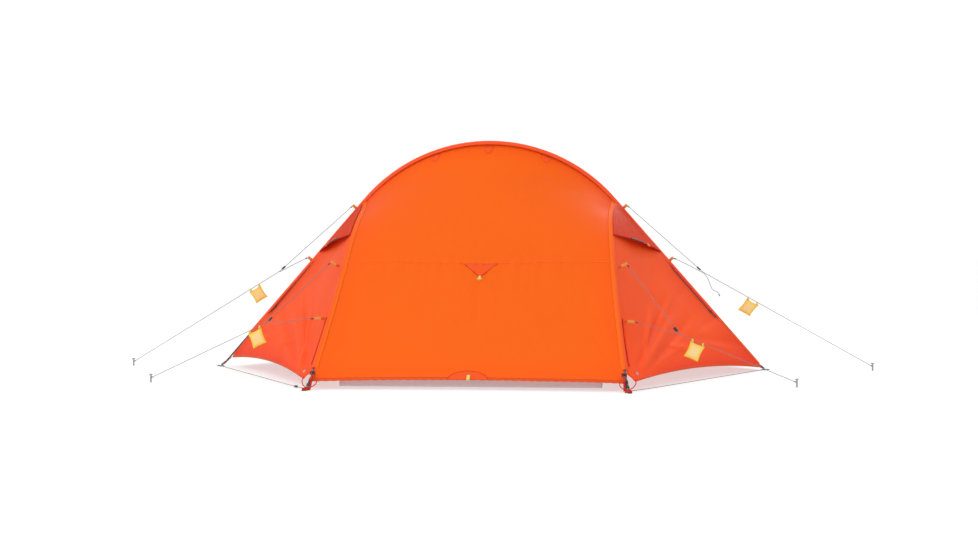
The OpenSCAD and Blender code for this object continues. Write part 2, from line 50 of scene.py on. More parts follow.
ENDS = ((1, "front"), (-1, "rear"))
# each corner's key, its end (1 at the front, -1 at the rear) and its side (-1 at the left, 1 at the right)
CORNERS = [(word[0] + side_word[0], end, side) for end, word in ENDS for side, side_word in WORDS]

# ---- camera
cam_data = bpy.data.cameras.new("camera")
cam_data.lens = 58.2
cam_data.sensor_width = 36
camera = bpy.data.objects.new("camera", cam_data)
camera.location = (0.657, -7.973, 0.677)
camera.rotation_euler = (math.radians(88.53), 0, math.radians(4.71))
scene.collection.objects.link(camera)
scene.camera = camera

# ---- the part's own curves, in metres
RIDGE_HALF, RIDGE_TOP = 1.377, 1.141
HOOP_HALF, HOOP_TOP_X, HOOP_FOOT_X, HOOP_WAIST = 1.200, 0.645, 0.694, 0.033
BEND_R = 0.834
HEM_CORNER, HEM_MIDDLE = 0.035, 0.044
DOOR_TOP_X = 0.860
SEAM_SHARE, STEP_SHARE = 0.52, 0.15    # shares of the way from the ridge to the hem
TOGGLE_U = 0.018               # the seam patch stands a little to the right of the middle
EDGE = 0.012
FLY_CORNER = {-1: (1.314, 0.050), 1: (1.362, 0.017)}
INNER_HALF, INNER_SCALE, TUB_H = 0.585, 0.88, 0.070
HOOD_REACH = 0.385
ZIP_CHAIN = 0.028              # from the ridge sleeve to the zip's chain
SLIDER_AT = 0.508              # share of the way down the zip


X_AXIS, Y_AXIS = np.array([1, 0, 0]), np.array([0, 1, 0])


def unit(v):
    v = np.asarray(v, float)
    return v / np.linalg.norm(v, axis=-1, keepdims=True)


def leg_angle(half, top):
    drop = BEND_R - top
    return math.atan2(half, drop) - math.acos(BEND_R / math.hypot(half, drop))


def pole_z(d, half, top):
    a = leg_angle(half, top)
    end = BEND_R * math.sin(a)
    d = np.abs(np.asarray(d, float))
    arc = top - BEND_R + np.sqrt(np.maximum(BEND_R**2 - d * d, 0))
    leg = top - BEND_R * (1 - math.cos(a)) - (d - end) * math.tan(a)
    return np.where(d < end, arc, leg)


RIDGE_ANGLE = leg_angle(RIDGE_HALF, RIDGE_TOP)


def ridge_z(x):
    return pole_z(x, RIDGE_HALF, RIDGE_TOP)


HOOP_TOP = float(ridge_z(HOOP_TOP_X)) - 0.019 / math.cos(RIDGE_ANGLE)


def hoop(side, y):
    """Points of a hoop pole's centreline at these y."""
    y = np.asarray(y, float)
    t = np.clip(np.abs(y) / HOOP_HALF, 0, 1)
    x = HOOP_TOP_X + (HOOP_FOOT_X - HOOP_TOP_X) * t**1.5 - HOOP_WAIST * np.sin(math.pi * t**0.7)
    return np.stack([side * x, y, pole_z(y, HOOP_HALF, HOOP_TOP)], -1)


def ridge(x):
    x = np.asarray(x, float)
    return np.stack([x, 0 * x, ridge_z(x)], -1)


def end_panel(u, v, edge=EDGE):
    """The front panel: u from -1 at the left hoop to 1 at the right, v from the ridge to the hem."""
    u, v = np.asarray(u, float), np.asarray(v, float)
    depth = HOOP_HALF - HEM_CORNER
    x_top, x_hem = u * (HOOP_TOP_X - edge), u * (HOOP_FOOT_X - edge - 0.002)
    chord_x = (1 - v) * HOOP_TOP_X + v * hoop(1, -depth)[0]
    chord_z = (1 - v) * HOOP_TOP + v * pole_z(depth, HOOP_HALF, HOOP_TOP)
    curve = hoop(1, -v * depth)
    share = 0.15 + 0.85 * u * u
    top_edge = HOOP_TOP_X - EDGE
    step = float(ridge_z(top_edge)) - HOOP_TOP - 0.003
    crown = ridge_z(x_top) - ridge_z(top_edge)
    hem_y = -depth + 0.026 * (1 - u * u)
    hem_z = HEM_CORNER + (HEM_MIDDLE - HEM_CORNER) * (1 - u * u)
    x = (1 - v) * x_top + v * x_hem + u * (curve[..., 0] - chord_x)
    y = np.minimum(-edge, v * hem_y)
    z = (
        (1 - v) * HOOP_TOP + v * hem_z + crown * (1 - v) ** 1.3
        + share * (curve[..., 2] - chord_z)
        + step * np.maximum(0, 1 - v / STEP_SHARE) ** 2
    )
    return np.stack([x, y, z], -1)


def hinge_top(side):
    return np.array([side * DOOR_TOP_X, -EDGE, float(ridge_z(DOOR_TOP_X))])


def hinge_foot(side):
    return np.array([side * (HOOP_FOOT_X + 0.016), -(HOOP_HALF - HEM_CORNER - 0.006), HEM_CORNER + 0.002])


def door_corner(side):
    return np.array([side * FLY_CORNER[side][0], -EDGE, FLY_CORNER[side][1]])


def door_normal(side):
    return side * unit(np.cross(hinge_foot(side) - hinge_top(side), door_corner(side) - hinge_top(side)))


def into(side, a, b, c):
    """Unit vector in the door's plane, across the line a to b and towards c."""
    along = unit(b - a)
    w = c - a
    return unit(w - (w @ along) * along)


def zip_line(side, s, offset=0.0, lift=0.0):
    """Points beside the zip: s from the hinge line's top to the door's lower corner."""
    a, c, f = hinge_top(side), door_corner(side), hinge_foot(side)
    s = np.asarray(s, float)[..., None]
    return a + s * (c - a) + offset * into(side, a, c, f) + lift * door_normal(side)


def crossing_rise(y):
    """How far the fabric over a hoop is drawn up towards the ridge pole near their crossing."""
    v = np.abs(y) / (HOOP_HALF - HEM_CORNER)
    return (float(ridge_z(HOOP_TOP_X)) - HOOP_TOP) * np.maximum(0, 1 - v / STEP_SHARE) ** 2


def hood_point(side, across, down, lift=0.0):
    """The vent hood: across from the ridge to the hoop, down from their crossing to the lip."""
    across, down = np.broadcast_arrays(np.asarray(across, float), np.asarray(down, float))
    x = HOOP_TOP_X + 0.006 + down * (DOOR_TOP_X - HOOP_TOP_X - 0.006)
    a = np.stack([side * x, 0 * x - 0.011, ridge_z(x) - 0.001], -1)
    y = -0.010 - down * (HOOD_REACH * HOOP_HALF - 0.010)
    b = hoop(side, y) + np.stack([0 * y + side * 0.004, 0 * y, 0.0066 + crossing_rise(y)], -1)
    k = across[..., None]
    bow = (0.004 * np.minimum(1, down * 8) + 0.013 * down * down * 4 * across * (1 - across) + lift)[..., None]
    return (1 - k) * a + k * b + bow * door_normal(side)


def dist(a, b):
    return float(np.linalg.norm(a - b))


def ramp(x, start, width):
    """0 up to the start, then up to 1 over the width."""
    return np.clip((x - start) / width, 0, 1)


def ramp_down(x, end, width):
    """Down from 1 over the width, and 0 from the end on."""
    return np.clip((end - x) / width, 0, 1)


def mirror(points, end):
    """Points of a front piece, or of its twin at the rear."""
    return np.asarray(points, float) * np.array([1, end, 1])


# ---- mesh helpers
def link(obj):
    scene.collection.objects.link(obj)
    return obj


def set_uv(me, uv):
    layer = me.uv_layers.new(name="uv")
    index = np.zeros(len(me.loops), np.int32)
    me.loops.foreach_get("vertex_index", index)
    layer.data.foreach_set("uv", np.asarray(uv, np.float32)[index].ravel())


def new_mesh(name, points, faces, mat, uv=None, tone=None, smooth=True):
    me = bpy.data.meshes.new(name)
    me.from_pydata([tuple(p) for p in points], [], [tuple(int(i) for i in f) for f in faces])
    if uv is not None:
        set_uv(me, uv)
    if tone is not None:
        me.attributes.new("tone", "FLOAT", "POINT").data.foreach_set("value", np.asarray(tone, np.float32).ravel())
    me.materials.append(mat)
    if smooth:
        me.shade_smooth()
    me.update()
    return link(bpy.data.objects.new(name, me))


def grid_faces(n, m, wrap=False, flip=False):
    faces = []
    for i in range(n - 1):
        for j in range(m if wrap else m - 1):
            k = (j + 1) % m
            f = (i * m + j, i * m + k, (i + 1) * m + k, (i + 1) * m + j)
            faces.append(f[::-1] if flip else f)
    return faces


def grid_uv(g):
    """Distances along the rows and columns of a grid of points, in metres."""
    du = np.linalg.norm(np.diff(g, axis=1), axis=2)
    dv = np.linalg.norm(np.diff(g, axis=0), axis=2)
    u = np.concatenate([np.zeros((g.shape[0], 1)), np.cumsum(du, 1)], 1)
    u -= u.mean(1, keepdims=True)
    v = np.concatenate([np.zeros((1, g.shape[1])), np.cumsum(dv, 0)], 0)
    return np.stack([u, v], -1).reshape(-1, 2)


def cloth(name, g, mat, thick=0.0008, tone=None, flip=False, offset=0.0):
    """A sheet of fabric over a grid of points, with its real thickness."""
    n, m = g.shape[:2]
    o = new_mesh(name, g.reshape(-1, 3), grid_faces(n, m, flip=flip), mat, grid_uv(g), tone)
    if thick:
        s = o.modifiers.new("thickness", "SOLIDIFY")
        s.thickness = thick
        s.offset = offset
    return o


def normals(g):
    du, dv = np.gradient(g, axis=1), np.gradient(g, axis=0)
    n = np.cross(du, dv)
    return n / np.maximum(np.linalg.norm(n, axis=-1, keepdims=True), 1e-9)


def frames(pts):
    """Tangent and two across vectors along a path, turning as little as they can."""
    pts = np.asarray(pts, float)
    t = unit(np.gradient(pts, axis=0))
    ref = np.array([0, 0, 1.0]) if abs(t[0][2]) < 0.9 else np.array([0, 1.0, 0])
    u = unit(np.cross(t[0], ref))
    us = [u]
    for i in range(1, len(pts)):
        u = us[-1] - (us[-1] @ t[i]) * t[i]
        us.append(unit(u))
    us = np.array(us)
    return t, us, np.cross(t, us)


def tube(name, pts, r, mat, sides=12, cap=True, shape=None, tone=None):
    """A round tube along a path. r may change along it, and shape(angle, i) scales its section."""
    pts = np.asarray(pts, float)
    n = len(pts)
    _, us, ws = frames(pts)
    r = np.broadcast_to(np.asarray(r, float), (n,))
    ang = np.linspace(0, 2 * math.pi, sides, endpoint=False)
    scale = np.ones((n, sides)) if shape is None else shape(ang, np.arange(n))
    ring = (
        pts[:, None]
        + (r[:, None] * scale * np.cos(ang))[..., None] * us[:, None]
        + (r[:, None] * scale * np.sin(ang))[..., None] * ws[:, None]
    )
    faces = grid_faces(n, sides, wrap=True)
    along = np.concatenate([[0], np.cumsum(np.linalg.norm(np.diff(pts, axis=0), axis=1))])
    round_ = np.broadcast_to(ang / (2 * math.pi) * 2 * math.pi * r.max(), (n, sides))
    uv = np.stack([round_, np.repeat(along[:, None], sides, 1)], -1).reshape(-1, 2)
    verts = ring.reshape(-1, 3)
    if cap:
        faces.append(tuple(range(sides))[::-1])
        faces.append(tuple(range((n - 1) * sides, n * sides)))
    return new_mesh(name, verts, faces, mat, uv, tone)


def ribbon(name, pts, width, across, mat, thick=0.0015, lift=0.0, crown=0.0, cols=5):
    """A flat strap along a path. across is one vector or one for each point."""
    pts = np.asarray(pts, float)
    w = unit(np.broadcast_to(np.asarray(across, float), pts.shape))
    t = unit(np.gradient(pts, axis=0))
    w = unit(w - (w * t).sum(1, keepdims=True) * t)
    n = np.cross(t, w)
    k = np.linspace(-0.5, 0.5, cols)
    g = (
        pts[:, None]
        + (k * width)[None, :, None] * w[:, None]
        + (lift + crown * (1 - (2 * k) ** 2))[None, :, None] * n[:, None]
    )
    return cloth(name, g, mat, thick)


def join(name, objs):
    """Joins meshes into one, modifiers applied."""
    dg = bpy.context.evaluated_depsgraph_get()
    verts, faces, uvs, mats, mat_i, smooth = [], [], [], [], [], []
    for o in objs:
        e = o.evaluated_get(dg)
        me = e.to_mesh()
        base = len(verts)
        verts += [tuple(o.matrix_world @ v.co) for v in me.vertices]
        slot = o.data.materials[0]
        if slot not in mats:
            mats.append(slot)
        layer = me.uv_layers[0].data if me.uv_layers else None
        for p in me.polygons:
            faces.append(tuple(base + i for i in p.vertices))
            mat_i.append(mats.index(slot))
            smooth.append(p.use_smooth)
            uvs += [tuple(layer[i].uv) if layer else (0.0, 0.0) for i in p.loop_indices]
        e.to_mesh_clear()
    me = bpy.data.meshes.new(name)
    me.from_pydata(verts, [], faces)
    layer = me.uv_layers.new(name="uv")
    layer.data.foreach_set("uv", np.array(uvs, np.float32).ravel())
    for m in mats:
        me.materials.append(m)
    me.polygons.foreach_set("material_index", np.array(mat_i, np.int32))
    me.polygons.foreach_set("use_smooth", np.array(smooth, bool))
    me.update()
    for o in objs:
        bpy.data.objects.remove(o)
    return link(bpy.data.objects.new(name, me))


def block(name, centre, axes, size, mat, bevel=0.0008, segments=2):
    """A small moulded block: size along its three axes, with rounded edges."""
    a = [unit(v) * s / 2 for v, s in zip(axes, size)]
    signs = (-1, 1)
    corners = [np.asarray(centre) + i * a[0] + j * a[1] + k * a[2] for i in signs for j in signs for k in signs]
    faces = [(0, 1, 3, 2), (4, 6, 7, 5), (0, 4, 5, 1), (2, 3, 7, 6), (0, 2, 6, 4), (1, 5, 7, 3)]
    o = new_mesh(name, corners, faces, mat, uv=[(p[0], p[2]) for p in corners])
    b = o.modifiers.new("bevel", "BEVEL")
    b.width, b.segments = bevel, segments
    return o


def sampler(g, rows, cols):
    """A finished grid of points as a surface: at(row, col, lift) for any row and column values."""
    n = normals(g)

    def at(row, col, lift=0.0):
        row, col = np.broadcast_arrays(np.asarray(row, float), np.asarray(col, float))
        fi = np.clip(np.interp(row, rows, np.arange(len(rows))), 0, len(rows) - 1.001)
        fj = np.clip(np.interp(col, cols, np.arange(len(cols))), 0, len(cols) - 1.001)
        i, j = fi.astype(int), fj.astype(int)
        a, b = (fi - i)[..., None], (fj - j)[..., None]

        def blend(f):
            return (1 - a) * ((1 - b) * f[i, j] + b * f[i, j + 1]) + a * ((1 - b) * f[i + 1, j] + b * f[i + 1, j + 1])

        return blend(g) + lift * blend(n * sign)

    sign = 1.0 if n[len(rows) // 2, len(cols) // 2][2] > 0 else -1.0
    return at


def ring_sheet(name, rows, mat, tone=None):
    """A closed fabric sleeve: each row is a ring of points."""
    g = np.asarray(rows, float)
    n, m = g.shape[:2]
    along = np.concatenate([[0], np.cumsum(np.linalg.norm(np.diff(g[:, 0], axis=0), axis=1))])
    round_ = np.concatenate([[0], np.cumsum(np.linalg.norm(np.diff(g[n // 2], axis=0), axis=1))])
    uv = np.stack(np.meshgrid(round_, along), -1).reshape(-1, 2)
    return new_mesh(name, g.reshape(-1, 3), grid_faces(n, m, wrap=True), mat, uv, tone)


def loop_tab(name, root, tip, face, width, mat, gap=0.0024, thick=0.0012):
    """A folded webbing loop from root to tip, its flat sides towards face and away from it."""
    root, tip, face = np.asarray(root, float), np.asarray(tip, float), unit(face)
    d = unit(tip - root)
    face = unit(face - (face @ d) * d)
    size = np.linalg.norm(tip - root) - gap
    ang = np.linspace(math.pi / 2, -math.pi / 2, 9)
    out = [root + k * size * d + (gap * (0.25 + 0.75 * k)) * face for k in np.linspace(0, 1, 6)]
    out += [root + (size + gap * math.cos(a)) * d + gap * math.sin(a) * face for a in ang[1:-1]]
    out += [root + k * size * d - (gap * (0.25 + 0.75 * k)) * face for k in np.linspace(1, 0, 6)]
    return ribbon(name, out, width, np.cross(d, face), mat, thick=thick, cols=4)


def eyelet(name, centre, axis, r, wire, mat):
    """A pressed metal ring."""
    axis = unit(axis)
    u = unit(np.cross(axis, (0.31, 0.87, 0.4)))
    w = np.cross(axis, u)
    a = np.linspace(0, 2 * math.pi, 29)
    return tube(name, np.asarray(centre) + r * (np.cos(a)[:, None] * u + np.sin(a)[:, None] * w), wire, mat, sides=10,
                cap=False)


def put(obj, slot, *nodes, body="tent"):
    """Fixes a piece to its body and hides the CAD nodes it stands for. Its slot argument is not used."""
    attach(obj, body)
    if nodes:
        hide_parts(*nodes)
    return obj


def softened(node, mat, body, width, slot="black_fittings"):
    """A copy of a moulded CAD node with its edges rounded, which stands for it."""
    bm = bmesh.new()
    bm.from_mesh(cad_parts[node].data)
    bmesh.ops.remove_doubles(bm, verts=bm.verts[:], dist=1e-6)
    bmesh.ops.dissolve_limit(bm, angle_limit=0.01, verts=bm.verts[:], edges=bm.edges[:])
    me = bpy.data.meshes.new(f"{node}_rounded")
    bm.to_mesh(me)
    bm.free()
    me.materials.clear()
    me.materials.append(mat)
    me.shade_smooth()
    o = link(bpy.data.objects.new(f"{node}_rounded", me))
    b = o.modifiers.new("rounding", "BEVEL")
    b.width, b.segments, b.limit_method, b.angle_limit = width, 2, "ANGLE", math.radians(32)
    b.harden_normals = True
    put(o, slot, node, body=body)


# ---- materials
class Nodes:
    """A node material under construction."""

    def __init__(self, name):
        self.mat = bpy.data.materials.new(name)
        self.mat.use_nodes = True
        self.tree = self.mat.node_tree
        self.tree.nodes.clear()
        self.out = self.add("ShaderNodeOutputMaterial")

    def add(self, kind, **values):
        node = self.tree.nodes.new(kind)
        for k, v in values.items():
            if hasattr(node, k):
                setattr(node, k, v)
            else:
                node.inputs[k.replace("_", " ")].default_value = v
        return node

    def feed(self, source, node, socket):
        if hasattr(source, "is_output"):
            self.tree.links.new(source, node.inputs[socket])
        else:
            node.inputs[socket].default_value = source

    def math(self, op, a, b=0.0, clamp=False):
        n = self.add("ShaderNodeMath", operation=op, use_clamp=clamp)
        self.feed(a, n, 0)
        self.feed(b, n, 1)
        return n.outputs[0]

    def mix(self, fac, a, b, blend="MIX"):
        n = self.add("ShaderNodeMix", data_type="RGBA", blend_type=blend)
        self.feed(fac, n, 0)
        self.feed(a, n, 6)
        self.feed(b, n, 7)
        return n.outputs[2]

    def noise(self, vector, scale, detail=3.0, rough=0.5):
        n = self.add("ShaderNodeTexNoise")
        n.inputs["Scale"].default_value = scale
        n.inputs["Detail"].default_value = detail
        n.inputs["Roughness"].default_value = rough
        self.feed(vector, n, "Vector")
        return n.outputs["Fac"]

    def wave(self, vector, pitch, axis="X", power=1.0):
        """Threads or ribs: 1 at their crests, one each pitch metres."""
        n = self.add("ShaderNodeTexWave", wave_type="BANDS", bands_direction=axis)
        n.inputs["Scale"].default_value = math.pi / (10 * pitch)
        self.feed(vector, n, "Vector")
        return self.math("POWER", n.outputs["Fac"], power) if power != 1.0 else n.outputs["Fac"]

    def bump(self, height, distance, strength=1.0, normal=None):
        n = self.add("ShaderNodeBump")
        n.inputs["Strength"].default_value = strength
        n.inputs["Distance"].default_value = distance
        self.feed(height, n, "Height")
        if normal is not None:
            self.feed(normal, n, "Normal")
        return n.outputs[0]


def rgb(r, g, b):
    """Linear colour from the usual 0 to 255 values."""
    return tuple(((c / 255) / 12.92 if c <= 10 else ((c / 255 + 0.055) / 1.055) ** 2.4) for c in (r, g, b)) + (1.0,)


def fabric(name, colour, second=None, weave=0.0012, grid=0.006, through=0.3, rough=0.55, sheen=0.02, depth=0.0002,
           rib=None, mottle=0.06, glow=None, rib_axis="X", gloss=0.14):
    """Woven cloth: crossed threads, a ripstop grid, slight colour changes, and light passing through."""
    n = Nodes(name)
    uv = n.add("ShaderNodeUVMap", uv_map="uv").outputs[0]
    place = n.add("ShaderNodeTexCoord").outputs["Object"]
    threads = n.math("MULTIPLY", n.wave(uv, weave, "X"), n.wave(uv, weave * 1.1, "Y"))
    height = threads
    base = colour
    # the tone attribute mixes towards the second colour; on the fly panels, side cloths, hoods and ridge sleeve this
    # tone is painted shade
    if second is not None:
        tone = n.add("ShaderNodeAttribute", attribute_name="tone").outputs["Fac"]
        base = n.mix(tone, colour, second)
    shade = n.noise(place, 2.3, 4)
    base = n.mix(n.math("MULTIPLY", n.math("SUBTRACT", shade, 0.35, True), mottle * 4, True), base,
                 tuple(c * 0.8 for c in colour[:3]) + (1,))
    if grid:
        lines = n.math("MAXIMUM", n.wave(uv, grid, "X", 26.0), n.wave(uv, grid, "Y", 26.0))
        height = n.math("ADD", n.math("MULTIPLY", threads, 0.5), lines)
        base = n.mix(n.math("MULTIPLY", lines, 0.10), base, tuple(c * 0.55 for c in colour[:3]) + (1,))
    if rib:
        ribs = n.wave(uv, rib, rib_axis, 2.0)
        height = n.math("ADD", height, n.math("MULTIPLY", ribs, 2.0))
        base = n.mix(n.math("MULTIPLY", ribs, 0.25), tuple(c * 0.72 for c in colour[:3]) + (1,), base)
    bump = n.bump(height, depth, 0.45)
    bump = n.bump(n.noise(place, 38, 3), 0.0009, 0.25, bump)
    p = n.add("ShaderNodeBsdfPrincipled")
    n.feed(base, p, "Base Color")
    n.feed(n.math("ADD", n.math("MULTIPLY", n.noise(place, 9, 2), 0.14), rough - 0.07), p, "Roughness")
    p.inputs["Sheen Weight"].default_value = sheen
    p.inputs["Sheen Roughness"].default_value = 0.4
    p.inputs["Specular IOR Level"].default_value = gloss
    n.feed(bump, p, "Normal")
    if through:
        t = n.add("ShaderNodeBsdfTranslucent")
        n.feed(n.mix(0.5, base, glow or colour), t, "Color")
        m = n.add("ShaderNodeMixShader")
        m.inputs[0].default_value = through
        n.feed(p.outputs[0], m, 1)
        n.feed(t.outputs[0], m, 2)
        n.feed(m.outputs[0], n.out, 0)
    else:
        n.feed(p.outputs[0], n.out, 0)
    return n.mat


def solid(name, colour, rough=0.5, metallic=0.0, grain=220, depth=0.0002, streak=False, coat=0.0, wear=0.25):
    """Plastic or metal: fine grain, uneven gloss, and paler worn edges."""
    n = Nodes(name)
    place = n.add("ShaderNodeTexCoord").outputs["Object"]
    if streak:
        stretch = n.add("ShaderNodeMapping")
        stretch.inputs["Scale"].default_value = (1, 14, 1)
        n.feed(place, stretch, "Vector")
        place = stretch.outputs[0]
    fine = n.noise(place, grain, 2)
    large = n.noise(place, 14, 3)
    edge = n.math("MULTIPLY", n.math("SUBTRACT", n.add("ShaderNodeNewGeometry").outputs["Pointiness"], 0.53, True), 6,
                  True)
    base = n.mix(n.math("MULTIPLY", large, 0.5), colour, tuple(min(1, c * 1.35 + 0.01) for c in colour[:3]) + (1,))
    base = n.mix(n.math("MULTIPLY", edge, wear), base, (0.5, 0.5, 0.5, 1))
    p = n.add("ShaderNodeBsdfPrincipled")
    n.feed(base, p, "Base Color")
    p.inputs["Metallic"].default_value = metallic
    n.feed(n.math("ADD", n.math("MULTIPLY", fine, 0.2), rough - 0.1), p, "Roughness")
    p.inputs["Coat Weight"].default_value = coat
    n.feed(n.bump(fine, depth, 0.3), p, "Normal")
    n.feed(p.outputs[0], n.out, 0)
    return n.mat


CORD = dict(rib=0.0013, through=0.0, depth=0.0003)
WEBBING = dict(weave=0.0014, grid=None, rib=0.0022, rough=0.7, sheen=0.1)
TRIM = dict(weave=0.0009, grid=None)
# the fly's second, redder colour is painted shade, mixed in by the front panels' tone
fly = fabric("fly_orange", rgb(255, 113, 14), rgb(252, 88, 18), through=0.36, glow=rgb(255, 120, 20))
# the side cloth's second, darker red is painted shade, mixed in by the side cloths' tone
fly_side = fabric("fly_side_red", rgb(255, 98, 28), rgb(240, 60, 16), through=0.36, glow=rgb(255, 80, 24))
# the hood's second, darker red is painted shade, mixed in by the hoods' tone
fly_hood = fabric("fly_hood_red", rgb(255, 74, 16), rgb(240, 42, 6), through=0.32, rib=0.012, mottle=0.1,
                  glow=rgb(255, 70, 18))
# the sleeve's second, darker red is painted shade on the ridge sleeve's flanks and underside
sleeve_mat = fabric("sleeve_red", rgb(251, 90, 44), rgb(232, 62, 26), through=0.14, mottle=0.1)
hoop_mat = fabric("hoop_sleeve_red", rgb(255, 108, 16), rgb(246, 78, 22), through=0.14, mottle=0.08)
tape_mat = fabric("zip_tape_dark_red", rgb(226, 28, 6), rgb(196, 16, 4), rib=0.0016, through=0.04, rough=0.7, **TRIM)
teeth_mat = fabric("zip_teeth", rgb(156, 16, 8), rib=0.0022, rib_axis="Y", through=0.0, rough=0.4,
                   depth=0.0006, gloss=0.5, **TRIM)
patch_mat = fabric("patch_dark_orange", rgb(240, 84, 22), through=0.12)
seam_mat = fabric("seam_orange", rgb(254, 103, 18), grid=None, through=0.2)
hem_mat = fabric("hem_binding", rgb(252, 92, 26), grid=None, rib=0.0024, through=0.1)
lip_mat = fabric("hood_lip_dark_red", rgb(206, 34, 12), rib=0.0018, through=0.0, rough=0.6, **TRIM)
webbing_mat = fabric("webbing_light_orange", rgb(255, 160, 84), through=0.1, **WEBBING)
yellow_mat = fabric("webbing_yellow", rgb(255, 228, 120), through=0.1, **WEBBING)
# dark red for the strip that stands for the side cloths' crease shade
crease_shade_strip_mat = fabric("crease_shade_strip_red", rgb(222, 40, 12), weave=0.0012, grid=None, rib=0.0018, through=0.05, rough=0.7)
strap_mat = fabric("webbing_red", rgb(226, 44, 18), through=0.05, **WEBBING)
pouch_mat = fabric("pouch_yellow", rgb(255, 236, 176), rgb(255, 228, 92), through=0.40, grid=0.005,
                   glow=rgb(255, 240, 168))
inner_mat = fabric("inner_yellow", rgb(246, 218, 160), weave=0.0008, grid=0.004, through=0.45, rough=0.65)
binding_mat = fabric("inner_binding", rgb(206, 150, 66), grid=None, rib=0.002, through=0.1)
mesh_mat = fabric("inner_mesh_panel", rgb(232, 206, 156), weave=0.002, grid=0.002, through=0.5, rough=0.7)
floor_mat = fabric("tub_floor_grey", rgb(226, 227, 230), grid=0.005, through=0.05)
cord_mat = fabric("cord_grey", rgb(140, 137, 142), rough=0.6, **CORD)
knot_mat = fabric("cord_knot_brown", rgb(96, 66, 58), rough=0.7, **CORD)
dark_cord = fabric("cord_black", rgb(34, 32, 34), rough=0.6, **CORD)
black = solid("black_acetal", rgb(24, 24, 26), 0.42)
pole_mat = solid("pole_anodised", rgb(74, 76, 82), 0.34, 1.0, streak=True)
ferrule_mat = solid("ferrule_alloy", rgb(176, 178, 182), 0.3, 1.0, streak=True)
peg_mat = solid("peg_alloy", rgb(150, 152, 158), 0.36, 1.0, streak=True)
thread_mat = fabric("stitch_thread", rgb(226, 72, 24), weave=0.0005, grid=None, through=0.0, rough=0.6)

# ---- cords
GUY_D = 0.0026
JUNCTION = (1.074, 0.489)
SIDE_PEG = {-1: 1.835, 1: 1.907}
FRONT_PEG = {-1: (-1.473, -0.900), 1: (1.436, -0.900)}
FRONT_JUNCTION = {-1: (-0.965, -0.807, 0.269), 1: (0.925, -0.858, 0.232)}
FRONT_UPPER = {-1: (-0.687, -0.653, 0.549), 1: (0.691, -0.655, 0.542)}
FRONT_LOWER = {-1: (-0.717, -0.895, 0.296), 1: (0.721, -0.901, 0.288)}
CORD_END_Z = 0.024
BRANCH_DROP = np.array([0, 0, -0.003])
TAIL = [(1.074, 0, 0.489), (1.084, -0.004, 0.481), (1.094, -0.007, 0.468), (1.103, -0.008, 0.450),
        (1.111, -0.007, 0.428), (1.119, -0.005, 0.408), (1.129, -0.004, 0.399), (1.141, -0.004, 0.396),
        (1.151, -0.004, 0.388), (1.156, -0.004, 0.377)]
BASE = [(1.386, -0.014, 0.007), (1.360, -0.059, 0.005), (1.300, -0.164, 0.005), (1.180, -0.373, 0.005),
        (1.060, -0.582, 0.005), (0.940, -0.792, 0.005), (0.820, -1.001, 0.005), (0.757, -1.111, 0.006),
        (0.724, -1.168, 0.007), (0.712, -1.186, 0.008)]


def on_line(a, b, s):
    return np.asarray(a, float) + s * unit(np.asarray(b, float) - np.asarray(a, float))


def guy_route(top, junction, peg):
    a, b = on_line(junction, top, 0.014), on_line(junction, peg, 0.014)
    bend = (2 * junction + on_line(junction, top, 0.005) + on_line(junction, peg, 0.005)) / 4
    return [top, (top + junction) / 2, a, bend, b, (junction + peg) / 2, peg]


def branch_route(top, junction):
    return [top, (top + junction) / 2, on_line(junction, top, 0.012) + BRANCH_DROP, junction + BRANCH_DROP]


def side_tab_end(side, x):
    return ridge(side * x) + 0.029 * np.array([side * math.sin(RIDGE_ANGLE), 0, math.cos(RIDGE_ANGLE)])


def dense(route, step=0.05):
    """More points along a route: none further apart than step."""
    out = [np.asarray(route[0], float)]
    for a, b in zip(route[:-1], route[1:]):
        a, b = np.asarray(a, float), np.asarray(b, float)
        k = max(1, math.ceil(np.linalg.norm(b - a) / step))
        out += [a + (b - a) * (i + 1) / k for i in range(k)]
    return np.array(out)


def knot(name, at, along, r=0.0035, mat=None):
    """A small tied knot: a cord wound twice round its own line."""
    along = unit(along)
    side = unit(np.cross(along, (0.3, 0.2, 1.0)))
    up = np.cross(along, side)
    t = np.linspace(0, 1, 40)
    turn = t * 2 * math.pi * 2.6
    pts = (
        np.asarray(at)
        + ((t - 0.5) * r * 3.2)[:, None] * along
        + (r * 0.62 * np.cos(turn))[:, None] * side
        + (r * 0.62 * np.sin(turn))[:, None] * up
    )
    return tube(name, pts, GUY_D / 2 * 1.05, mat or cord_mat, sides=8)


junction = {s: np.array([s * JUNCTION[0], 0, JUNCTION[1]]) for s in (-1, 1)}
side_peg = {s: np.array([s * SIDE_PEG[s], 0, CORD_END_Z]) for s in (-1, 1)}
front_peg = {s: np.array([*FRONT_PEG[s], CORD_END_Z]) for s in (-1, 1)}
front_junction = {s: np.array(FRONT_JUNCTION[s]) for s in (-1, 1)}
main_line, branch_line = {}, {}
for s, word in WORDS:
    main_line[f"side_{word}"] = guy_route(side_tab_end(s, 0.672), junction[s], side_peg[s])
    branch_line[f"side_{word}"] = branch_route(side_tab_end(s, 0.903), junction[s])
    upper, lower = np.array(FRONT_UPPER[s]), np.array(FRONT_LOWER[s])
    main_line[f"front_{word}"] = guy_route(on_line(upper, front_junction[s], 0.004), front_junction[s], front_peg[s])
    branch_line[f"front_{word}"] = branch_route(on_line(lower, front_junction[s], 0.004), front_junction[s])
branch_line["side_right"] = branch_line["side_right"][:3] + [np.array(p) + BRANCH_DROP for p in TAIL]

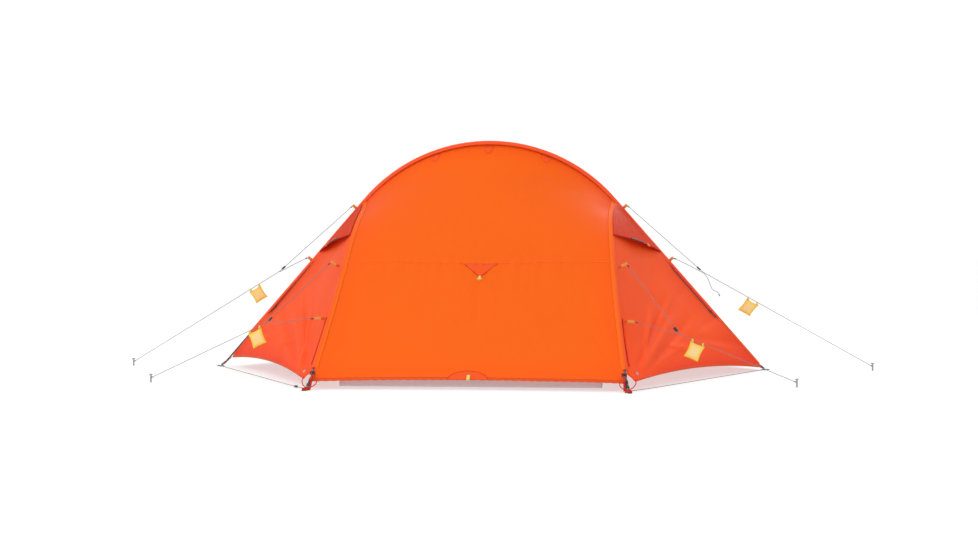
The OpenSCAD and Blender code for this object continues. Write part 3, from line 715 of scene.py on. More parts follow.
for place in main_line:
    for lines, node in ((main_line, f"guy_{place}"), (branch_line, f"guy_{place}_branch")):
        pts = dense(lines[place])
        line = tube(f"{node}_line", pts, GUY_D / 2, cord_mat, sides=10)
        put(line, "guyline_cord", node)
        start = knot(f"{node}_knot", on_line(pts[0], pts[1], 0.012), pts[1] - pts[0], mat=knot_mat)
        put(start, "guyline_cord")
        pieces = [start]
        free = node == "guy_side_right_branch"
        if free or lines is main_line:
            stop = knot(f"{node}_end_knot", pts[-1], pts[-1] - pts[-2], 0.003)
            put(stop, "guyline_cord")
            pieces.append(stop)
for s, word in WORDS:
    pts = dense([(s * p[0], p[1], p[2]) for p in BASE])
    line = tube(f"base_cord_{word}_line", pts, GUY_D / 2, cord_mat, sides=10)
    put(line, "guyline_cord", f"base_cord_{word}")


# ---- fly
def fold(g, n, a, b, width, height, tail=0.25):
    """Height of a crease in the fabric that runs from a to b and fades out at its ends."""
    a, b = np.asarray(a, float), np.asarray(b, float)
    d = b - a
    t = ((g - a) @ d) / (d @ d)
    near = a + np.clip(t, 0, 1)[..., None] * d
    away = np.linalg.norm(g - near, axis=-1)
    fade = np.clip(t / tail, 0, 1) * np.clip((1 - t) / tail, 0, 1)
    return height * np.exp(-((away / width) ** 2)) * fade


def ruffle(u, v, seed, fu, fv, count=5):
    """Smooth random swell, a sum of a few slanting waves, from -1 to 1."""
    r = np.random.default_rng(seed)
    total = 0
    for _ in range(count):
        a, b, c = r.uniform(0.4, 1) * fu, r.uniform(-1, 1) * fv, r.uniform(0, 2 * math.pi)
        total = total + np.sin(a * u + b * v + c)
    return total / count


def sewn(obj, key=None, node=None):
    """A piece sewn to the fly: with no key it stays with the tent, and with a side cloth's key its placement is baked
    into its mesh.
    """
    if key is None:
        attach(obj, "tent")
    else:
        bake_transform(obj)
    if node:
        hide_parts(node)
    return obj


CREASE_AWAY = 0.024            # from the hoop's edge to the crease beside it
panel_at, side_at, hinge_span = {}, {}, {}
DEPTH = HOOP_HALF - HEM_CORNER
for end, word in ENDS:
    u = np.linspace(-1, 1, 141)
    v = np.linspace(0, 1, 161) ** 1.15
    U, V = np.meshgrid(u, v)
    g = end_panel(U, V, 0.006)
    n = -normals(g)
    n *= np.sign(n[70, 60] @ np.array([0, -1, 0.5]))
    w = np.zeros(U.shape)
    # tension lines that fan out from the seam's ends, the lower corners, the upper corners and the toggle
    for k in (-1, 1):
        for (u0, v0), spread, width, wider, height in (
            ((0.98, SEAM_SHARE), ((0.30, -0.05), (0.34, 0.03), (0.26, 0.11), (0.42, -0.015)), 0.012, 0.004, 0.0018),
            ((0.99, 0.97), ((0.10, -0.26), (0.19, -0.17), (0.30, -0.09), (0.05, -0.36)), 0.013, 0.003, 0.0026),
            ((0.97, 0.08), ((0.30, 0.20), (0.16, 0.30), (0.45, 0.12)), 0.02, 0.006, 0.0022),
        ):
            start = end_panel(k * u0, v0)
            for i, (du, dv) in enumerate(spread):
                tip = end_panel(k * (u0 - du), v0 + dv)
                w += fold(g, n, start, tip, width + wider * i, height * (-1) ** i)
    toggle = end_panel(TOGGLE_U, SEAM_SHARE + 0.05)
    for i, (du, dv) in enumerate(((-0.16, 0.16), (0.0, 0.22), (0.17, 0.15))):
        tip = end_panel(TOGGLE_U + du, SEAM_SHARE + 0.05 + dv)
        w += fold(g, n, toggle, tip, 0.014, 0.0024 * (-1) ** i)
    w += 0.0024 * ruffle(U, V, 3 + end, 9, 7) * (1 - U**4)
    w += 0.0022 * np.exp(-(((V - SEAM_SHARE) / 0.016) ** 2)) * np.sin(U * 95 + 3 * np.sin(U * 11)) * (1 - U**2)
    below = ramp(V, SEAM_SHARE, 0.01) * np.exp(-np.maximum(V - SEAM_SHARE, 0) / 0.07)
    w += 0.0022 * below * np.sin(U * 60 + 2 * np.sin(U * 17)) * (1 - U**2)
    w += 0.0010 * np.exp(-((V / 0.05) ** 2)) * np.sin(U * 130)
    w += 0.0012 * np.exp(-(((V - 1) / 0.02) ** 2)) * np.sin(U * 120)
    w *= ramp_down(np.abs(U), 1, 0.03) * np.clip(V / 0.012, 0, 1)
    g = g + w[..., None] * n
    panel_at[end] = sampler(g, v, u)
    # painted light: the tone mixes the fly's orange towards its redder second colour beside the hoop sleeves, along
    # the hem, just under the ridge sleeve and at the upper sides. This is painted shade, and it leaves a painted glow
    # across the middle of the panel
    tone = np.clip(0.35 * np.abs(U) ** 8 + 0.25 * ramp(V, 0.9, 0.1) + 0.45 * ramp_down(V, 0.06, 0.06)
                   + 0.5 * ramp_down(V, SEAM_SHARE, SEAM_SHARE) * np.abs(U) ** 2, 0, 1)
    sheet = sewn(cloth(f"{word}_panel_cloth", mirror(g, end), fly, tone=tone, flip=end == -1))
    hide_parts(f"{word}_panel_upper", f"{word}_panel_lower")

for key, end, side in CORNERS:
    top, foot, corner = hinge_top(side), hinge_foot(side), door_corner(side)
    nrm = door_normal(side)
    out = into(side, top, foot, corner)
    r = 0.03 + 0.97 * np.linspace(0, 1, 120) ** 0.9
    t = np.concatenate([np.linspace(-1, 0, 34)[:-1], np.linspace(0, 1, 60)])
    R, T = np.meshgrid(r, t, indexing="ij")
    hinge = foot + R[..., None] * (top - foot)
    hoop_side = hoop(side, -EDGE - (1 - R) * (DEPTH - 2 * EDGE)) + np.array([side * 0.006, 0, -0.002])
    fixed = hinge + (-T)[..., None] * (hoop_side - hinge)
    # the zip is open above its slider's place at rest, and the flap lies over it below
    flap = 0.036 - 0.018 * ramp(T, 0.56, 0.05) - 0.028 * ramp_down(T, 0.14, 0.05)
    proud = 0.003 * ramp(T, 0.50, 0.05) + 0.010 * ramp(T, 0.56, 0.05) * ramp_down(T, 1.0, 0.02)
    zip_edge = (top + np.clip(T, 0, 1)[..., None] * (corner - top) + flap[..., None] * into(side, top, corner, foot)
                + proud[..., None] * nrm)
    lift = unit(top - (foot + corner) / 2)
    door = foot + R[..., None] * (zip_edge - foot)
    rise = 0.045 * 4 * R * (1 - R) * np.clip(T, 0, 1) ** 3
    door = door + rise[..., None] * lift
    g = np.where((T <= 0)[..., None], fixed, door)
    n = np.broadcast_to(nrm, g.shape)
    w = 0.0045 * ruffle(T, R, 11 + side + 3 * end, 5, 9) * ramp_down(T, 1, 0.2) * ramp(T, -1, 0.2)
    w += 0.0016 * ruffle(T, R, 21 + side + 3 * end, 22, 26) * ramp_down(T, 1, 0.1) * ramp(T, -1, 0.1)
    # folds that fan out from the lower guyline tab and the foot
    tab = np.array(FRONT_LOWER[side])
    for i, (a, b, width, high) in enumerate((
        (0.02, 0.05, 0.014, 0.011), (0.16, 0.02, 0.016, -0.011), (0.34, 0.03, 0.018, 0.010), (0.52, 0.06, 0.022,
                -0.008),
        (0.26, 0.02, 0.010, 0.007), (0.70, 0.06, 0.024, 0.006),
    )):
        tip = foot + (0.55 + 0.07 * i) * (top - foot) + a * 0.5 * out
        w += fold(g, n, foot + 0.10 * (top - foot) + b * out, tip, width, high)
    for i in range(6):
        target = foot + (0.14 + 0.15 * i) * (corner - foot) + (0.16 + 0.03 * (i % 2)) * (top - foot)
        w += fold(g, n, tab + 0.03 * out, target, 0.011 + 0.003 * i, 0.0075 * (-1) ** i)
    for i in range(4):
        target = foot + (0.62 + 0.1 * i) * (top - foot) + (0.05 + 0.05 * i) * out
        w += fold(g, n, tab + 0.02 * out, target, 0.012 + 0.003 * i, 0.0070 * (-1) ** i)
    # a hard crease beside the hoop, from the lower tab to the foot
    from_hoop = (T + 1) * np.linalg.norm(hinge - hoop_side, axis=-1)
    crease = np.exp(-(((from_hoop - CREASE_AWAY) / 0.006) ** 2))
    crease = crease * ramp_down(R, 0.265, 0.02) * ramp(R, 0.06, 0.03) * (T < 0.6)
    w -= 0.007 * crease
    w *= ramp(R, 0.03, 0.15) * ramp_down(R, 1, 0.03)
    g = g + w[..., None] * nrm
    side_at[key] = sampler(g, r, t)
    # painted shade: the tone darkens the side cloth towards its second red near the zip edge, at the foot, at the top
    # under the hood, in the crease beside the hoop and in the fold hollows. It lightens the fold crests as a painted
    # highlight
    tone = np.clip(0.9 * ramp(T, 0.55, 0.45) ** 2 + 0.25 * (1 - R) + 0.4 * ramp(R, 0.85, 0.15)
                   + 0.9 * crease - w * 18, 0, 1)
    sheet = cloth(f"side_cloth_{key}", mirror(g, end), fly_side, tone=tone, flip=(side * end) < 0)
    hinge_span[key] = (mirror(foot - 0.02 * out, end), mirror(foot + 0.02 * out, end))
    sewn(sheet, key)
    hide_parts(f"side_panel_{key}", f"door_{key}")


def beside_hoop(key, r, away, lift=0.0):
    """A point of a side cloth, away metres from the hoop's edge."""
    at = side_at[key]
    wide = dist(at(r, 0.0), at(r, -1.0))
    if away <= wide:
        return at(r, -1 + away / wide, lift)
    span = dist(at(r, 1.0), at(r, 0.0))
    return at(r, min(1.0, (away - wide) / span), lift)


# ---- sleeves
def ridge_ring(x):
    """One ring of the ridge sleeve: flanges on the fabric at the front and rear, and the pole's bulge between."""
    c = ridge(x)
    a = math.atan2(float(ridge_z(x - 1e-4) - ridge_z(x + 1e-4)), 2e-4)
    up = np.array([math.sin(a), 0, math.cos(a)])
    front = np.array([0, -1.0, 0])
    end = min(1.0, max(0.0, (abs(x) - 0.60) / 0.10))
    low = (1 - end) * -0.0075 + end * -0.0040
    edge = low - 0.0035 * (1 - end)
    section = [(0.019, edge), (0.013, low), (0.0085, 0.0030), (0.0045, 0.0078), (0, 0.0090), (-0.0045, 0.0078),
               (-0.0085, 0.0030), (-0.013, low), (-0.019, edge), (-0.0085, -0.0060), (0, -0.0090), (0.0085, -0.0060)]
    return [c + p * front + q * up for p, q in section]


x = np.concatenate([[-1.225], np.linspace(-1.215, 1.34, 320), [1.352]])
pucker = np.random.default_rng(5).uniform(-1, 1, (len(x), 12)) * 0.0004
rows = np.array([ridge_ring(k) for k in x])
rows[..., 2] += pucker
# painted shade: the sleeve's crown keeps the light red, and its flanks, flanges and underside darken towards the
# second red
tone = np.tile([0.6, 0.3, 0.1, 0.0, 0.0, 0.0, 0.1, 0.3, 0.6, 0.6, 0.6, 0.6], (len(x), 1))
sewn(ring_sheet("ridge_sleeve_cloth", rows, sleeve_mat, tone), None, "ridge_sleeve")


def hoop_ring(side, y):
    """One ring of a hoop sleeve: a flange on the front panel, over the pole, and a flange on the side cloth."""
    c = hoop(side, y)
    t = unit(hoop(side, y - 1e-3) - hoop(side, y + 1e-3))
    across = np.array([side * 1.0, 0, 0])
    up = unit(np.cross(across, t)) * side
    if up[2] < 0:
        up = -up
    v = min(0.995, abs(y) / DEPTH)
    rr = 1 - (abs(y) - EDGE) / (DEPTH - 2 * EDGE)
    rr = min(1.0, max(0.03, rr))
    key = "f" + ("l" if side < 0 else "r")
    wide = dist(side_at[key](rr, 0.0), side_at[key](rr, -1.0))
    rise = np.array([0, 0, float(crossing_rise(np.array(y)))])
    at_side = [side_at[key](rr, -1 + min(0.85, k / max(wide, 1e-3)), 0.0012) for k in (0.007, 0.012)]
    at_front = [panel_at[1](v, side * (1 - k / 0.64), 0.0012) for k in (0.014, 0.008)]
    over = [c + p * across + q * up + rise for p,
            q in ((-0.0056, 0.0040), (-0.002, 0.0062), (0.002, 0.0062), (0.0056, 0.0040))]
    return [*at_front, *over, at_side[0] + rise, at_side[1] + rise,
            c + 0.007 * across - 0.005 * up, c - 0.0078 * up, c - 0.007 * across - 0.005 * up]


for s, word in WORDS:
    y = -np.concatenate([[0.004], np.linspace(0.012, 1.105, 170)])
    half = np.array([hoop_ring(s, k) for k in y[::-1]])
    rows = np.concatenate([half, mirror(half, -1)[::-1]])
    tone = np.tile([0.0, 0.05, 0.2, 0.45, 0.6, 0.8, 0.9, 1.0, 0.5, 0.5, 0.5], (len(rows), 1))
    sewn(ring_sheet(f"hoop_sleeve_{word}_cloth", rows, hoop_mat, tone), None, f"hoop_sleeve_{word}")

# ---- seams, hems and patches of the end panels
def strip(name, rows, mat, end=1, thick=0.0008):
    """A narrow strip sewn on: rows of points from one edge to the other."""
    return cloth(name, mirror(np.asarray(rows, float), end), mat, thick, flip=end == -1)


PATCH_HALF = 0.125             # half the seam patch's width, as a share of half the panel
HEM_PATCH_HALF = 0.127


def patch(obj):
    return sewn(obj, None, "reinforcement_patches")


for end, word in ENDS:
    at = panel_at[end]
    u = np.linspace(-0.985, 0.985, 200)
    sewn(strip(f"{word}_cross_seam", [at(SEAM_SHARE + k, u, h) for k, h in
                                      ((-0.0036, 0.0004), (-0.002, 0.0009), (0.002, 0.0009),
                                       (0.0036, 0.0004))], seam_mat, end))
    for k in (-0.0026, 0.0026):
        sewn(tube(f"{word}_cross_seam_stitch_{'upper' if k < 0 else 'lower'}",
                  mirror(at(SEAM_SHARE + k, u, 0.0010), end),
                  0.0003, thread_mat, sides=6))
    u = np.linspace(-1, 1, 220)
    sewn(strip(f"{word}_hem_binding", [at(np.minimum(k, 1.0), u, h) for k, h in
                                             ((0.9885, 0.0008), (0.993, 0.0014), (0.998, 0.0014),
                                              (1.0, 0.0))], hem_mat, end))
    sewn(tube(f"{word}_hem_stitch", mirror(at(0.9905, u[3:-3], 0.0017), end), 0.0004, thread_mat, sides=6))
    # three small patches under the ridge sleeve
    for i, x in enumerate((-0.27, 0.0, 0.29)):
        q, k = np.meshgrid(np.linspace(0, 1, 7), np.linspace(-1, 1, 11), indexing="ij")
        U, V = (x + 0.030 * k * (1 - 0.75 * q)) / 0.633, 0.012 + 0.026 * q
        patch(cloth(f"{word}_ridge_patch_{i + 1}", mirror(at(V, U, 0.0014), end), patch_mat, flip=end == -1))
    # the triangular patch below the seam, with its toggle
    k = np.linspace(-1, 1, 15)
    rows = [at(SEAM_SHARE + 0.006 + 0.052 * q, TOGGLE_U + k * PATCH_HALF * (1 - 0.95 * q), 0.0012)
            for q in np.linspace(0, 1, 8)]
    patch(strip(f"{word}_seam_patch", rows, patch_mat, end))
    edge_line = [at(SEAM_SHARE + down_by, TOGGLE_U + across_by, 0.0016) for down_by, across_by in (
        (0.006, -PATCH_HALF), (0.058, -0.006), (0.058, 0.006), (0.006, PATCH_HALF))]
    sewn(tube(f"{word}_seam_patch_piping", mirror(dense(edge_line, 0.01), end), 0.0013, strap_mat, sides=8))
    spot = at(SEAM_SHARE + 0.060, TOGGLE_U, 0.003)
    down = unit(at(SEAM_SHARE + 0.08, TOGGLE_U) - spot)
    face = unit(np.cross(down, (1, 0, 0)))
    face = face if face[2] > 0 else -face
    sewn(join(f"{word}_seam_toggle", [
        loop_tab("t1", mirror(spot - 0.004 * down, end), mirror(spot + 0.020 * down, end), mirror(face, end), 0.012,
                 yellow_mat),
        tube("t2", mirror([spot + 0.016 * down + k * X_AXIS + 0.003 * face for k in (-0.013, -0.009, 0.009, 0.013)],
                          end),
             [0.0022, 0.0032, 0.0032, 0.0022], yellow_mat, sides=10)]))
    # the half-round patch on the hem, with its tab
    k = np.linspace(-1, 1, 25)
    rows = [at(0.999 - 0.036 * q, k * HEM_PATCH_HALF * math.sqrt(max(0.0004, 1 - q**2)), 0.0017)
            for q in np.linspace(0, 1, 12)]
    patch(strip(f"{word}_hem_patch", rows, patch_mat, end))
    arc = [at(0.999 - 0.036 * math.sin(a), HEM_PATCH_HALF * math.cos(a), 0.0022) for a in np.linspace(0, math.pi, 40)]
    sewn(tube(f"{word}_hem_patch_stitch", mirror(arc, end), 0.0009, strap_mat, sides=8))
    spot, low = at(0.981, 0.004, 0.0030), at(0.9995, 0.004, 0.0030)
    face = at(0.99, 0.004, 1.0) - at(0.99, 0.004, 0.0)
    sewn(loop_tab(f"{word}_hem_tab", mirror(spot, end), mirror(low + 0.004 * unit(low - spot), end),
                  mirror(face, end), 0.015,
                  yellow_mat))

# ---- hems and zips of the sides
for key, end, side in CORNERS:
    at = side_at[key]
    r = np.linspace(0.07, 1.0, 120)
    span = np.maximum(r, 0.07) * dist(door_corner(side), hinge_top(side))
    rows = [at(r, 1 - k / span, h) for k, h in ((0.013, 0.0006), (0.008, 0.0013), (0.003, 0.0013), (0.0, 0.0002))]
    sewn(strip(f"side_hem_{key}", rows, hem_mat, end), key)
    sewn(tube(f"side_hem_stitch_{key}", mirror(at(r, 1 - 0.010 / span, 0.0014), end), 0.0004, thread_mat, sides=6),
         key)
    # painted shade: a dark red strip laid along the crease beside the hoop, from the lower tab to the foot, stands
    # for the crease's shade
    line = np.array([beside_hoop(key, q, CREASE_AWAY, 0.0016) for q in np.linspace(0.262, 0.075, 30)])
    sewn(ribbon(f"crease_shade_strip_{key}", mirror(line, end), 0.0065, (1, 0, 0), crease_shade_strip_mat, thick=0.0012), key)
    # binding along the door's free edge
    t = np.linspace(0.06, 0.995, 120)
    rows = [at(1 - k, t, h) for k, h in ((0.016, 0.0006), (0.010, 0.0013), (0.003, 0.0013), (0.0, 0.0002))]
    sewn(strip(f"door_edge_binding_{key}", rows, hem_mat, end), key)
    # the zip's tape and teeth
    across = mirror(into(side, hinge_top(side), door_corner(side), hinge_foot(side)), end)
    s = np.linspace(0.09, 0.975, 160)
    rows = [zip_line(side, s, k, h) for k, h in ((0.002, 0.0000), (0.012, 0.0004), (0.022, 0.0006), (0.033, 0.0002))]
    tone = np.repeat([[0.2], [0.6], [0.2], [0.9]], len(s), 1)
    put(cloth(f"zip_tape_{key}", mirror(np.array(rows), end), tape_mat, 0.0008, tone=tone, flip=(side * end) > 0),
        "zip_tape", "zip_tapes")
    s = np.linspace(0.115, 0.955, 420)
    wobble = 0.0002 * np.sin(np.arange(len(s)) * 1.3)
    put(ribbon(f"zip_teeth_{key}", mirror(zip_line(side, s, ZIP_CHAIN, 0.0014), end) + wobble[:, None]
               * np.array([1, 0, 0]),
               0.0048, across, teeth_mat,
               thick=0.0014, crown=0.0008, cols=5), "zip_tape", "zip_chains")
    # red end spot of the zip
    spot = mirror(zip_line(side, np.array([0.955, 0.975]), 0.026, 0.002), end)
    put(ribbon(f"zip_end_{key}", spot, 0.020, across,
               strap_mat, thick=0.0016), "zip_tape")
    # slider: its rounded body with a bridge, a pull and a cord loop
    body = f"zip_slider_{key}"
    softened(body, black, body, 0.0004)
    down = unit(door_corner(side) - hinge_top(side))
    nrm = door_normal(side)
    a = zip_line(side, SLIDER_AT, ZIP_CHAIN, 0.0062)
    bridge = [a - 0.005 * down, a - 0.004 * down + 0.0035 * nrm, a + 0.004 * down + 0.0035 * nrm, a + 0.005 * down]
    first = tube(f"{body}_bridge", mirror(dense(bridge, 0.002), end), 0.0011, black, sides=10)
    end_of_pull = zip_line(side, SLIDER_AT + 0.01, ZIP_CHAIN, 0.0062) + 0.030 * down
    cord = [end_of_pull - 0.007 * down + 0.0022 * nrm, end_of_pull - 0.001 * down + 0.003 * nrm,
            end_of_pull + 0.002 * down,
            end_of_pull - 0.001 * down - 0.001 * nrm]
    second = tube(f"{body}_cord", mirror(dense(cord, 0.003), end), 0.0013, dark_cord, sides=8)
    for piece in (first, second):
        put(piece, "black_fittings", body=body)

# ---- vent hoods
for key, end, side in CORNERS:
    A, D = np.meshgrid(np.linspace(0, 1, 97), np.linspace(0.0, 1, 60))
    pleat = 0.0016 * np.sin(A * 2 * math.pi * 17) * ramp(D, 0.08, 0.3)
    pleat += 0.0015 * ruffle(A, D, 31 + side + 3 * end, 30, 8)
    pleat *= np.clip(np.minimum(A, 1 - A) / 0.06, 0, 1)
    g = hood_point(side, A, D, pleat)
    # painted shade: the hood darkens towards its lip and most of all along it, and its pleats get painted shade and
    # painted highlight that follow their rise and fall
    tone = np.clip(0.35 + 0.4 * (D - 0.5) + pleat * 170 + 0.35 * ramp(D, 0.85, 0.15), 0, 1)
    put(cloth(f"vent_hood_cloth_{key}", mirror(g, end), fly_hood, 0.0009, tone=tone, flip=(side * end) > 0),
        "fly_fabric", f"vent_hood_{key}")
    lip = hood_point(side, np.linspace(0, 1, 60), 1.0)
    lip_down = unit(hood_point(side, 0.5, 1.0) - hood_point(side, 0.5, 0.9))
    put(tube(f"vent_hood_lip_{key}", mirror(lip, end), 0.0034, lip_mat, sides=12), "fly_fabric")
    # the stay: a flat black batten on the lip
    span = hood_point(side, np.linspace(0.43, 0.69, 12), 1.0, 0.0062)
    stay = ribbon(f"hood_stay_{key}", mirror(span + 0.002 * lip_down, end), 0.0085, mirror(lip_down, end), black,
                  thick=0.0026)
    b = stay.modifiers.new("rounding", "BEVEL")
    b.width, b.segments = 0.0006, 2
    put(stay, "black_fittings", "hood_stays")
    if end == 1:
        root = hood_point(side, 0.33, 0.985, 0.0045)
        put(loop_tab(f"hood_tab_{key}", root, root + 0.020 * lip_down + 0.001 * door_normal(side), door_normal(side),
                     0.016,
                     webbing_mat), "webbing", "webbing_tabs")

# ---- guyline tabs
def bar_tack(name, at, across, width, up):
    """A short dense row of stitches across a tab's root."""
    return tube(name, [np.asarray(at) + k * width * unit(across) + 0.0016
                       * unit(up) for k in np.linspace(-0.5, 0.5, 7)], 0.0008,
                thread_mat, sides=6)


for s, word in WORDS:
    out = np.array([s * math.sin(RIDGE_ANGLE), 0, math.cos(RIDGE_ANGLE)])
    along = np.array([s * math.cos(RIDGE_ANGLE), 0, -math.sin(RIDGE_ANGLE)])
    for which, x in (("upper", 0.672), ("lower", 0.903)):
        p = ridge(s * x)
        parts = [loop_tab("a", p + 0.0075 * out, p + 0.031 * out, (0, -1, 0), 0.014, webbing_mat),
                 bar_tack("b", p + 0.011 * out + np.array([0, -0.0022, 0]), along, 0.017, (0, -1, 0))]
        put(join(f"side_tab_{which}_{word}", parts), "webbing", "webbing_tabs")
    for which, tip in (("upper", np.array(FRONT_UPPER[s])), ("lower", np.array(FRONT_LOWER[s]))):
        p = hoop(s, tip[1] + 0.010)
        root = p + 0.006 * door_normal(s) + 0.004 * unit(tip - p)
        d = unit(tip - root)
        reach = dist(tip, root)
        parts = [loop_tab("a", root + 0.40 * reach * d, tip + 0.003 * d, (0, -1, 0.1), 0.014, webbing_mat),
                 ribbon("c", [root + k * reach * d for k in (0.2, 0.35, 0.5)], 0.013, np.cross(d, (0, -1, 0.1)),
                        hem_mat,
                        thick=0.006),
                 bar_tack("b", root + 0.42 * reach * d + np.array([0, -0.003, 0]), np.cross(d, (0, -1, 0)), 0.014,
                          (0, -1, 0))]
        put(join(f"front_tab_{which}_{word}", parts), "webbing", "webbing_tabs")

# ---- line tensioners and pouches
for place in main_line:
    softened(f"tensioner_{place}", black, f"tensioner_{place}", 0.0007)

for place, start_at, tilt in (("side_left", 0.118, -0.53), ("side_right", 0.250, -0.63), ("front_left", 0.024, -0.34),
                              ("front_right", 0.056, -0.42)):
    route = main_line[place]
    peg = np.asarray(route[-1])
    joint_at = (junction if place.startswith("side") else front_junction)[-1 if "left" in place else 1]
    d = unit(peg - joint_at)
    a = joint_at + start_at * d
    drop = 0.078 * (np.array([0, 0, -1]) + tilt * d)
    deep = unit(np.cross(d, drop))
    deep = deep if deep[1] < 0 else -deep
    S, Q = np.meshgrid(np.linspace(0, 1, 25), np.linspace(0, 1, 27))
    pull = 0.055 * 4 * Q * (1 - Q)                       # the sides draw in between the corners
    sag = 0.05 * 4 * S * (1 - S) * (1 - Q) ** 3 - 0.03 * 4 * S * (1 - S) * Q**3
    place_s = pull + S * (1 - 2 * pull)
    base = a + (0.066 * place_s)[..., None] * d + (Q + sag)[..., None] * drop + np.array([0, 0, -0.012])
    full = 16 * S * (1 - S) * Q * (1 - Q)
    full = (0.0042 * np.sqrt(np.clip(full, 0, 1)) * (1 + 0.12 * ruffle(S, Q, 51, 9, 9))
            + 0.0012 * (1 - Q) ** 4 * np.clip(4 * S * (1 - S), 0, 1))
    rim = np.minimum(np.minimum(S, 1 - S), np.minimum(Q, 1 - Q))
    tone = ramp_down(rim, 0.17, 0.05)
    middle = np.array([0, 0.0015, 0])
    front = cloth("pf", base + middle + (0.0004 + full)[..., None] * deep, pouch_mat, 0.0006, tone=tone)
    back = cloth("pb", base + middle - (0.0004 + 0.8 * full)[..., None] * deep, pouch_mat, 0.0006, tone=tone,
                 flip=True)
    for word, o in (("front", front), ("back", back)):
        o.name = f"pouch_{place}_{word}"
        put(o, "pouch_fabric", "guyline_pouches")
    outline = [base[0, 0], *base[:, 0][1:], *base[-1][1:], *base[::-1, -1][1:]]
    piping = tube(f"pouch_{place}_piping", np.array(outline) + middle, 0.0011, yellow_mat, sides=8)
    opening = tube(f"pouch_{place}_opening", base[0] + middle + 0.0012 * deep, 0.0013, yellow_mat, sides=8)
    parts = [loop_tab("t", a + k * d + np.array([0, 0.0005, -0.0155]), a + k * d + np.array([0, 0.0005, 0.0018]),
                      (0, -1, 0),
                      0.008, yellow_mat, gap=0.0022) for k in (0.008, 0.058)]
    tabs = join(f"pouch_{place}_tabs", parts)
    for o in (piping, opening, tabs):
        put(o, "pouch_fabric")

# ---- feet
for node, width in (("ground_plates", 0.0007), ("foot_buckles", 0.0006), ("base_tensioner", 0.0007),
                    ("pole_tips", 0.0006)):
    softened(node, black, "tent", width)
softened("ground_pegs", peg_mat, "tent", 0.0008, "peg_alloy")

for key, end, side in CORNERS:
    x_corner = side * (float(abs(hoop(1, -(HOOP_HALF - 0.090))[0])) - 0.004)
    a = np.array([x_corner, -(HOOP_HALF - 0.062), 0.084])
    b = np.array([side * (HOOP_FOOT_X - 0.014), -(HOOP_HALF + 0.016), 0.007])
    d = unit(b - a)
    n = unit(np.cross((1, 0, 0), d))
    n = n if n[1] < 0 else -n
    # strap: from inside the hem, down through the buckle and on to the plate, with its free tail turned up
    reach = np.linalg.norm(b - a)
    path = [a + p * d + q * n for p,
            q in ((0.004, -0.001), (0.012, 0), (0.020, 0.002), (0.028, -0.001), (0.036, 0.002))]
    tail = [a + p * d + q * n for p, q in ((0.030, 0.005), (0.046, 0.008), (0.062, 0.013), (0.074, 0.017))]
    both = [ribbon("s", dense(route, 0.006), 0.009, X_AXIS, strap_mat, thick=0.0015)
            for route in ([*path, a + 0.8 * reach * d, b], tail)]
    leg = hoop(side, -np.linspace(1.148, 1.186, 8))
    widths = [0.0062, 0.0080, 0.0080, 0.0074, 0.0074, 0.0108, 0.0112, 0.0092]
    put(tube(f"tip_socket_{key}", mirror(leg, end), widths, black, sides=24), "black_fittings")
    straps = join(f"foot_strap_{key}", both)
    if end == -1:
        for vert in straps.data.vertices:
            vert.co.y = -vert.co.y
        straps.data.flip_normals()
    put(straps, "webbing", "foot_straps")
    # cord loops from the two fabric corners to the plate
    plate = np.array([side * HOOP_FOOT_X, -(HOOP_HALF + 0.012), 0.010])
    for word, corner_at in (("panel", panel_at[end](0.997, side * 0.962)), ("side", beside_hoop(key, 0.05, 0.060))):
        sway = np.array([side * (-0.010 if word == "panel" else 0.012), 0, -0.004])
        run = [corner_at, (corner_at * 2 + plate) / 3 + sway, (corner_at + plate * 2) / 3 + sway, plate]
        put(tube(f"corner_cord_{word}_{key}", mirror(dense(run, 0.006), end), 0.0022, strap_mat, sides=8), "webbing")
    # stake loop lying on the plate: red webbing in a loop outwards
    away = unit(np.array([side * 0.35, -1, 0]))
    c = np.array([side * HOOP_FOOT_X, -HOOP_HALF, 0.0045])
    w = np.array([-away[1], away[0], 0])
    ang = np.linspace(-0.5 * math.pi, 0.5 * math.pi, 15)
    loop = [c - 0.010 * w - 0.004 * away] + [c + 0.026 * away + 0.010 * np.sin(q) * w + 0.010 * np.cos(q)
                                             * away for q in ang]
    loop += [c + 0.010 * w - 0.004 * away]
    put(ribbon(f"stake_loop_{key}", mirror(dense(loop, 0.004), end) + np.array([0, 0, 0.003]), 0.009, (0, 0, 1),
               strap_mat,
               thick=0.0014), "webbing")
    # metal eyelet in the side cloth's lower corner
    spot = side_at[key](0.085, 0.30, 0.0012)
    sewn(eyelet(f"corner_eyelet_{key}", mirror(spot, end), mirror(door_normal(side), end), 0.0062, 0.0019,
                ferrule_mat),
         key)

for s, word in WORDS:
    # webbing from the fly's corner to the ridge pole's foot, held by a ladder lock
    off = np.array([s * math.sin(RIDGE_ANGLE), 0, math.cos(RIDGE_ANGLE)])
    start = door_corner(s) + np.array([-s * 0.02, 0.008, 0.018])
    line = dense([start, door_corner(s) + np.array([s * 0.004, 0.004, 0.002]),
                  np.array([s * (RIDGE_HALF - 0.006), -0.013, 0.006])], 0.006)
    put(ribbon(f"ridge_foot_strap_{word}", line, 0.011, (0, 1, 0), strap_mat, thick=0.0014), "webbing")
    d = unit(line[-1] - line[0])
    c = line[int(0.72 * len(line))] + 0.0025 * off
    parts = [block("k", c + k * d, (d, Y_AXIS, off), (0.0030, 0.021, 0.0040), black, 0.0007) for k in (-0.008, 0.0,
            0.008)]
    parts += [block("k", c + k * Y_AXIS, (d, Y_AXIS, off), (0.019, 0.0026, 0.0040), black, 0.0007) for k in (-0.0095,
            0.0095)]
    put(join(f"ridge_foot_buckle_{word}", parts), "black_fittings")

# ---- inner tent
def inner_half_grid(rows, cols):
    V, U = np.meshgrid(rows, cols, indexing="ij")
    p = end_panel(U * 0.97, V)
    return np.stack([U * INNER_HALF, INNER_SCALE * p[..., 1], INNER_SCALE * p[..., 2] + 0.003], -1), U, V


